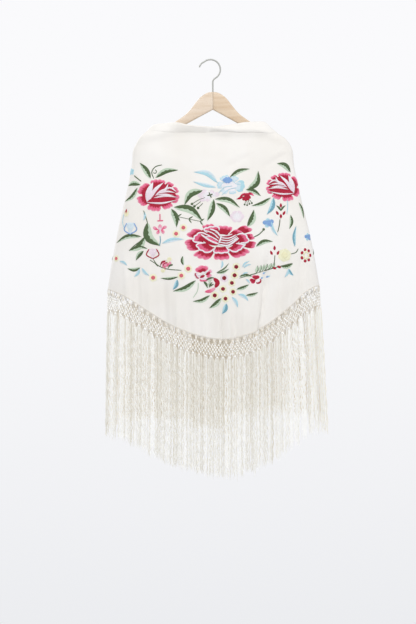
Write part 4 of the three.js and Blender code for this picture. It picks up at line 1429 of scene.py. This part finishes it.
def fringe(name, angles, node, tone, silk):
    """The locks of one stretch of the hem, as one piece."""
    count = len(angles) * THREADS
    turn, way, faces = tube_template(3, THREAD_STEPS)
    lock = np.repeat(np.arange(len(angles)), THREADS)
    angle = angles[lock][:, None]
    t = way[None, :]
    top = net_drop(angles)[lock][:, None]
    full = lerp(FRINGE_DROP, FRINGE_DROP_AT_SIDES, near_sides(angles))[lock][:, None]
    length = full - top + rng.normal(0, 6, (count, 1)) + rng.uniform(-5, 4, (len(angles), 1))[lock]
    along, outwards = hem_directions(angle)
    middle = fringe_point(angle + 0 * t, top + length * t)
    spread = lerp(0.6, 1, smoothstep(t, 0, 0.05)) * lerp(1, 0.86, smoothstep(t, 0.6, 1))
    place = np.tile(np.linspace(-1, 1, THREADS), len(angles))[:, None] + rng.normal(0, 0.1, (count, 1))
    layer = rng.uniform(-1, 1, (count, 1))
    slow = rng.uniform(0, 6.28, (len(angles), 1))[lock]
    sway = LOCK_WAVE * np.sin(2 * np.pi * t * 2.3 + slow)
    shared = sway + LOCK_WAVE * np.sin(2 * np.pi * t * 11 + 2 * slow)
    crimp = 2 * np.pi * t * rng.uniform(11, 17, (count, 1))
    own = THREAD_WAVE * np.sin(crimp + rng.uniform(0, 6.28, (count, 1)))
    loose = smoothstep(t, 0.02, 0.2)
    drift = rng.normal(0, 1.1, (count, 1)) * t**2
    fullness = rng.uniform(6.6, 8.0, (len(angles), 1))[lock]
    sideways = place * fullness * spread + (shared + own) * loose + drift
    depth = layer * 2.2 * spread + LOCK_WAVE * np.cos(2 * np.pi * t * 8 + slow) * loose
    radius = THREAD_RADIUS * np.minimum(1, 40 * np.minimum(t + 0.005, 1.003 - t))
    points = round_threads(middle, along, outwards, sideways, depth, radius, turn)
    uv = np.empty((count, len(turn), 2))
    uv[..., 0] = turn[None, :] * 1.2 + place * 9
    uv[..., 1] = t * length
    strand = np.arange(count) // 2
    strand_tone_and_side_light = rng.normal(tone, 0.5, strand[-1] + 1)[strand]
    # Painted light: the threads are paler towards the sides of the shawl, and more so on the right; the tone
    # of each pair is random.
    strand_tone_and_side_light += (0.55 + 0.12 * np.sign(angle[:, 0])) * near_sides(angle[:, 0])
    noise = rng.normal(0, 0.2, count)
    in_front = np.cos(np.radians(angle)) > 0
    # Painted shade in the middle of the front, darkest towards the net, and painted light towards the thread
    # ends.
    painted_middle_shade = MIDDLE_PAINTED_SHADE * in_front * (1 - near_sides(angle)) * (0.8 - smoothstep(t, 0.3, 0.8))
    shade = np.clip((strand_tone_and_side_light + noise)[:, None] - painted_middle_shade, 0, 1).ravel()
    faces = repeated(faces, count, len(turn)).tolist()
    piece = joined(name, points.reshape(-1, 3), faces, silk, uv.reshape(-1, 2), shade=shade, smooth=False)
    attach(piece, "root")
    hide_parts(node)
    print(name, triangles(piece), "triangles")
    return piece


fringes = [
    fringe("fringe_threads_left", stretches[0], "fringe_wing_left", 0.45, shaded_fringe_silk),
    fringe("fringe_threads_front", stretches[1], "fringe_front", 0.46, fringe_silk),
    fringe("fringe_threads_right", stretches[2], "fringe_wing_right", 0.45, shaded_fringe_silk),
]

# %% [markdown]
# ## The rolled hem
# The cut edge of the crepe is rolled tightly and sewn, all round. A thin tube follows the hem, where the
# net's cream cord covers it, and one of bare crepe follows the free upper edge of each wing.

# %% Rolled hems
def rolled_edge(name, angle, v, radius, material):
    """A tube along a line on the drape."""
    steps = len(angle) - 1
    turn, way, faces = tube_template(7, steps)
    ring = np.round(way * steps).astype(int)
    centre = cloth_surface(angle, v, np.zeros_like(angle))
    normal = outward(angle, v)
    forward = np.gradient(centre, axis=0)
    forward /= np.linalg.norm(forward, axis=1, keepdims=True)
    side = np.cross(forward, normal)
    c, s = np.cos(2 * np.pi * turn)[:, None], np.sin(2 * np.pi * turn)[:, None]
    points = centre[ring] + radius * (c * normal[ring] + s * side[ring])
    return joined(name, points, faces.tolist(), material)


hem_angles = np.linspace(LEFT_END, RIGHT_END, 700)
hems = [rolled_edge("rolled_hem", hem_angles, np.full_like(hem_angles, 0.998), 0.9, net_silk)]
for name, start, end in (("rolled_edge_left", LEFT_END, -90.5), ("rolled_edge_right", 90.5, RIGHT_END)):
    angle = np.linspace(start, end, 200)
    hems.append(rolled_edge(name, angle, top_edge(angle) + 0.001, 1.0, crepe))
print("rolled hems:", sum(triangles(piece) for piece in hems), "triangles")

# %% [markdown]
# ## The hanger
# Two beech arms meet in the middle. Each is cut from a board, so it starts as one outline with an even
# thickness, and its edges are rounded over. The steel hook is a bent wire with a rounded end.

# %% The wooden arms
HANGER_THICKNESS, HANGER_ROUNDING, SEAM_GAP = 12.0, 4.0, 0.1
arm_outline = np.array([  # distance from the middle of the hanger, height: over the top, round the tip, back
    (0, -79), (12, -80.5), (22, -85.5), (33, -94), (41, -103.5), (49, -114), (58, -125), (67, -134.5),
    (79, -143.5), (93, -153), (106, -160.5), (128, -170), (150, -180.5), (168, -193), (180, -202.5),
    (188, -210.5), (191.1, -216.5), (188.5, -222.5), (181, -224.5), (168, -217.5), (140, -200.5),
    (100, -178.5), (57, -154.5), (0, -123.5),
])


def hanger_yoke():
    """Both arms in one rounded board, before it is sawn apart."""
    chord = np.concatenate([[0], np.cumsum(np.linalg.norm(np.diff(arm_outline, axis=0), axis=1))])
    sample = np.linspace(0, chord[-1], 90)
    half = np.column_stack([smooth_curve(chord, column, sample) for column in arm_outline.astype(float).T])
    outline = np.concatenate([half, half[-2:0:-1] * (-1, 1)])
    bm = bmesh.new()
    back = HANGER_THICKNESS / 2
    verts = [bm.verts.new(((x + HANGER_X) * MM, back * MM, z * MM)) for x, z in outline]
    face = bm.faces.new(verts)
    bmesh.ops.recalc_face_normals(bm, faces=[face])
    front = bmesh.ops.extrude_face_region(bm, geom=[face])["geom"]
    moved = [item for item in front if isinstance(item, bmesh.types.BMVert)]
    bmesh.ops.translate(bm, verts=moved, vec=(0, -HANGER_THICKNESS * MM, 0))
    bmesh.ops.recalc_face_normals(bm, faces=bm.faces)
    level = [e for e in bm.edges if abs(e.verts[0].co.y - e.verts[1].co.y) < 1e-6]
    bmesh.ops.bevel(
        bm, geom=level, offset=HANGER_ROUNDING * MM, affect="EDGES", segments=4, profile=0.5, material=-1,
        clamp_overlap=True,
    )
    return bm


def hanger_arm(name, side, node, material):
    """One arm: the board is cut at the seam, and the cut is closed."""
    bm = hanger_yoke()
    cut = (HANGER_X + side * SEAM_GAP / 2) * MM
    whole_board = bm.verts[:] + bm.edges[:] + bm.faces[:]
    bmesh.ops.bisect_plane(
        bm, geom=whole_board, plane_co=(cut, 0, 0), plane_no=(-side, 0, 0), clear_outer=True
    )
    rim = [e for e in bm.edges if e.is_boundary]
    bmesh.ops.holes_fill(bm, edges=rim)
    bmesh.ops.recalc_face_normals(bm, faces=bm.faces)
    mesh = bpy.data.meshes.new(name)
    bm.to_mesh(mesh)
    bm.free()
    mesh.shade_smooth()
    mesh.materials.append(material)
    piece = placed(name, mesh)
    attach(piece, "root")
    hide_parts(node)
    print(name, triangles(piece), "triangles")
    return piece


def beech(name, light, dark, offset):
    """Beech: long streaks along the arm, and short dark flecks, under clear varnish."""
    material, tree, shader = new_material(name, 0.42, Coat_Weight=0.25, Coat_Roughness=0.25)
    place = added(tree, "TexCoord")
    streak_map = added(tree, "Mapping", Scale=(9, 60, 95), Location=(offset, 0, 0))
    fleck_map = added(tree, "Mapping", Scale=(160, 420, 900))
    streaks = added(tree, "TexNoise", Scale=1.0, Detail=5, Distortion=0.6)
    flecks = added(tree, "TexNoise", Scale=1.0)
    for mapping, noise in ((streak_map, streaks), (fleck_map, flecks)):
        tree.links.new(place.outputs["Object"], mapping.inputs["Vector"])
        tree.links.new(mapping.outputs[0], noise.inputs["Vector"])
    grain = mixed(tree, contrast(tree, streaks.outputs[0], 0.3, 0.7), light, dark)
    darker = tuple(0.72 * channel for channel in dark)
    colour = mixed(tree, contrast(tree, flecks.outputs[0], 0.66, 0.8), grain, darker)
    tree.links.new(colour, shader.inputs["Base Color"])
    relief(tree, shader, flecks.outputs[0], 0.0001, 0.3)
    return material


beech_left = beech("beech_left", linear(238, 220, 199), linear(224, 201, 173), 0.0)
beech_right = beech("beech_right", linear(234, 213, 186), linear(215, 187, 154), 3.7)
arms = [
    hanger_arm("hanger_arm_left_wood", -1, "hanger_arm_left", beech_left),
    hanger_arm("hanger_arm_right_wood", 1, "hanger_arm_right", beech_right),
]

# %% The wire hook
HOOK_WIRE, HOOK_BEND = 4.0, 24.8
HOOK_TIP = 2.0  # the length of the rounded tip
hook_arc = np.radians(np.linspace(132, -52, 52))
hook_line = [(-28.2, -17.5), (-25.8, -12.6), (-22.0, -7.4)]
hook_line += [(HOOK_BEND * math.cos(t), 2 - HOOK_BEND + HOOK_BEND * math.sin(t)) for t in hook_arc]
hook_line += [(HANGER_X + aside, z) for aside, z in ((2.6, -47.5), (0.3, -52), (0, -58), (0, -78), (0, -103))]
hook_line = np.array(hook_line)
chord = np.concatenate([[0], np.cumsum(np.linalg.norm(np.diff(hook_line, axis=0), axis=1))])
sample = np.linspace(0, chord[-1], 140)
path = np.column_stack([smooth_curve(chord, column, sample) for column in hook_line.T])
wire = bpy.data.curves.new("hook_wire", "CURVE")
wire.dimensions = "3D"
wire.bevel_depth = HOOK_WIRE / 2 * MM
wire.bevel_resolution = 5
wire.use_fill_caps = True
spline = wire.splines.new("POLY")
spline.points.add(len(path) - 1)
for point, (x, z), along in zip(spline.points, path, sample):
    point.co = (x * MM, 0, z * MM, 1)
    point.radius = math.sqrt(1 - (1 - min(along / HOOK_TIP, 1)) ** 2) * 0.97 + 0.03
bent_wire = placed("bent_wire", wire)
hook_mesh = bpy.data.meshes.new_from_object(bent_wire.evaluated_get(bpy.context.evaluated_depsgraph_get()))
bpy.data.objects.remove(bent_wire)
hook_mesh.name = "wire_hook"
hook_mesh.shade_smooth()
hook = placed("wire_hook", hook_mesh)

steel, tree, shader = new_material("hook_steel", 0.4, Metallic=0.8)
place, draw_marks = added(tree, "TexCoord"), added(tree, "TexNoise", Scale=900, Detail=3)
tree.links.new(place.outputs["Object"], draw_marks.inputs["Vector"])
marked = mixed(tree, draw_marks.outputs[0], linear(176, 176, 170), linear(204, 204, 197))
tree.links.new(marked, shader.inputs["Base Color"])
tree.links.new(contrast(tree, draw_marks.outputs[0], -1.4, 1.8), shader.inputs["Roughness"])
relief(tree, shader, draw_marks.outputs[0], 0.00008, 0.3)
hook_mesh.materials.clear()
hook_mesh.materials.append(steel)
print("wire_hook:", triangles(hook), "triangles")

# %% [markdown]
# ## Light
# The photograph has soft, even light on white. A pale sky gives most of it, and the part of the sky that the
# camera sees is brighter than the light it casts. Two large soft lamps, from the upper left and from the
# right, shape the folds of the front, and one behind shapes those of the back.

# %% Light and floor
scene = bpy.context.scene
scene.view_settings.view_transform = "Standard"
world = bpy.data.worlds.new("studio")
scene.world = world
world.use_nodes = True
sky = world.node_tree
backdrop = sky.nodes["Background"]
heading, height_seen = added(sky, "TexCoord"), added(sky, "SeparateXYZ")
sky.links.new(heading.outputs["Generated"], height_seen.inputs[0])
# Painted shade on the backdrop: the sky that the camera sees darkens towards the bottom.
paler = contrast(sky, height_seen.outputs[2], -0.16, 0.03)
sky.links.new(mixed(sky, paler, linear(235, 236, 239), linear(250, 250, 252)), backdrop.inputs["Color"])
fill = added(sky, "Background", Color=(0.93, 0.95, 1.0, 1), Strength=0.69)
seen, either = added(sky, "LightPath"), added(sky, "MixShader")
sky.links.new(seen.outputs["Is Camera Ray"], either.inputs[0])
sky.links.new(fill.outputs[0], either.inputs[1])
sky.links.new(backdrop.outputs[0], either.inputs[2])
sky.links.new(either.outputs[0], sky.nodes["World Output"].inputs["Surface"])

lamps = [  # name, place, what it points at, size in metres, watts
    ("key", (-0.65, -2.0, 1.75), (0, 0, -0.45), 1.2, 32),
    ("side", (2.2, -1.6, 0.6), (0, 0, -0.4), 1.4, 14),
    ("back", (-1.6, 1.7, 1.0), (0, 0, -0.4), 1.2, 22),
]
for name, place, aim, size, power in lamps:
    light = bpy.data.lights.new(name, "AREA")
    light.size, light.energy = size, power
    lamp = placed(name, light)
    lamp.location = place
    lamp.rotation_euler = (Vector(aim) - Vector(place)).to_track_quat("-Z", "Y").to_euler()
FLOOR_Z, FLOOR_RADIUS = -2.0, 2.0
floor_mesh = bpy.data.meshes.new("floor")
bm = bmesh.new()
bmesh.ops.create_circle(bm, cap_ends=True, segments=96, radius=FLOOR_RADIUS)
bmesh.ops.translate(bm, verts=bm.verts, vec=(0, 0, FLOOR_Z))
bm.to_mesh(floor_mesh)
bm.free()
floor = placed("floor", floor_mesh)
floor_material, _, floor_shader = new_material("pale_floor", 0.7)
floor_shader.inputs["Base Color"].default_value = (0.85, 0.85, 0.86, 1)
floor_mesh.materials.append(floor_material)
print("lamps:", len(lamps))

# %% [markdown]
# ## Joining the frame
# Every piece rides on the one body, and the plain solids that it stands for are hidden.

# %% Frame links
soft_pieces = {
    shawl_cloth: ("crepe", ("shawl_front", "shawl_wing_left", "shawl_wing_right")),
    turned_edge: ("crepe", ("turned_top_edge",)),
    embroidery: ("embroidery_thread", ()),
    net: ("fringe_silk", ("fringe_front", "fringe_wing_left", "fringe_wing_right")),
    hook: ("hook_wire", ("hook",)),
    **{piece: ("crepe", ()) for piece in hems},
}
for piece, (finish, nodes) in soft_pieces.items():
    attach(piece, "root")
    if nodes:
        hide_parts(*nodes)
print("pieces:", len(soft_pieces) + len(fringes) + len(arms))
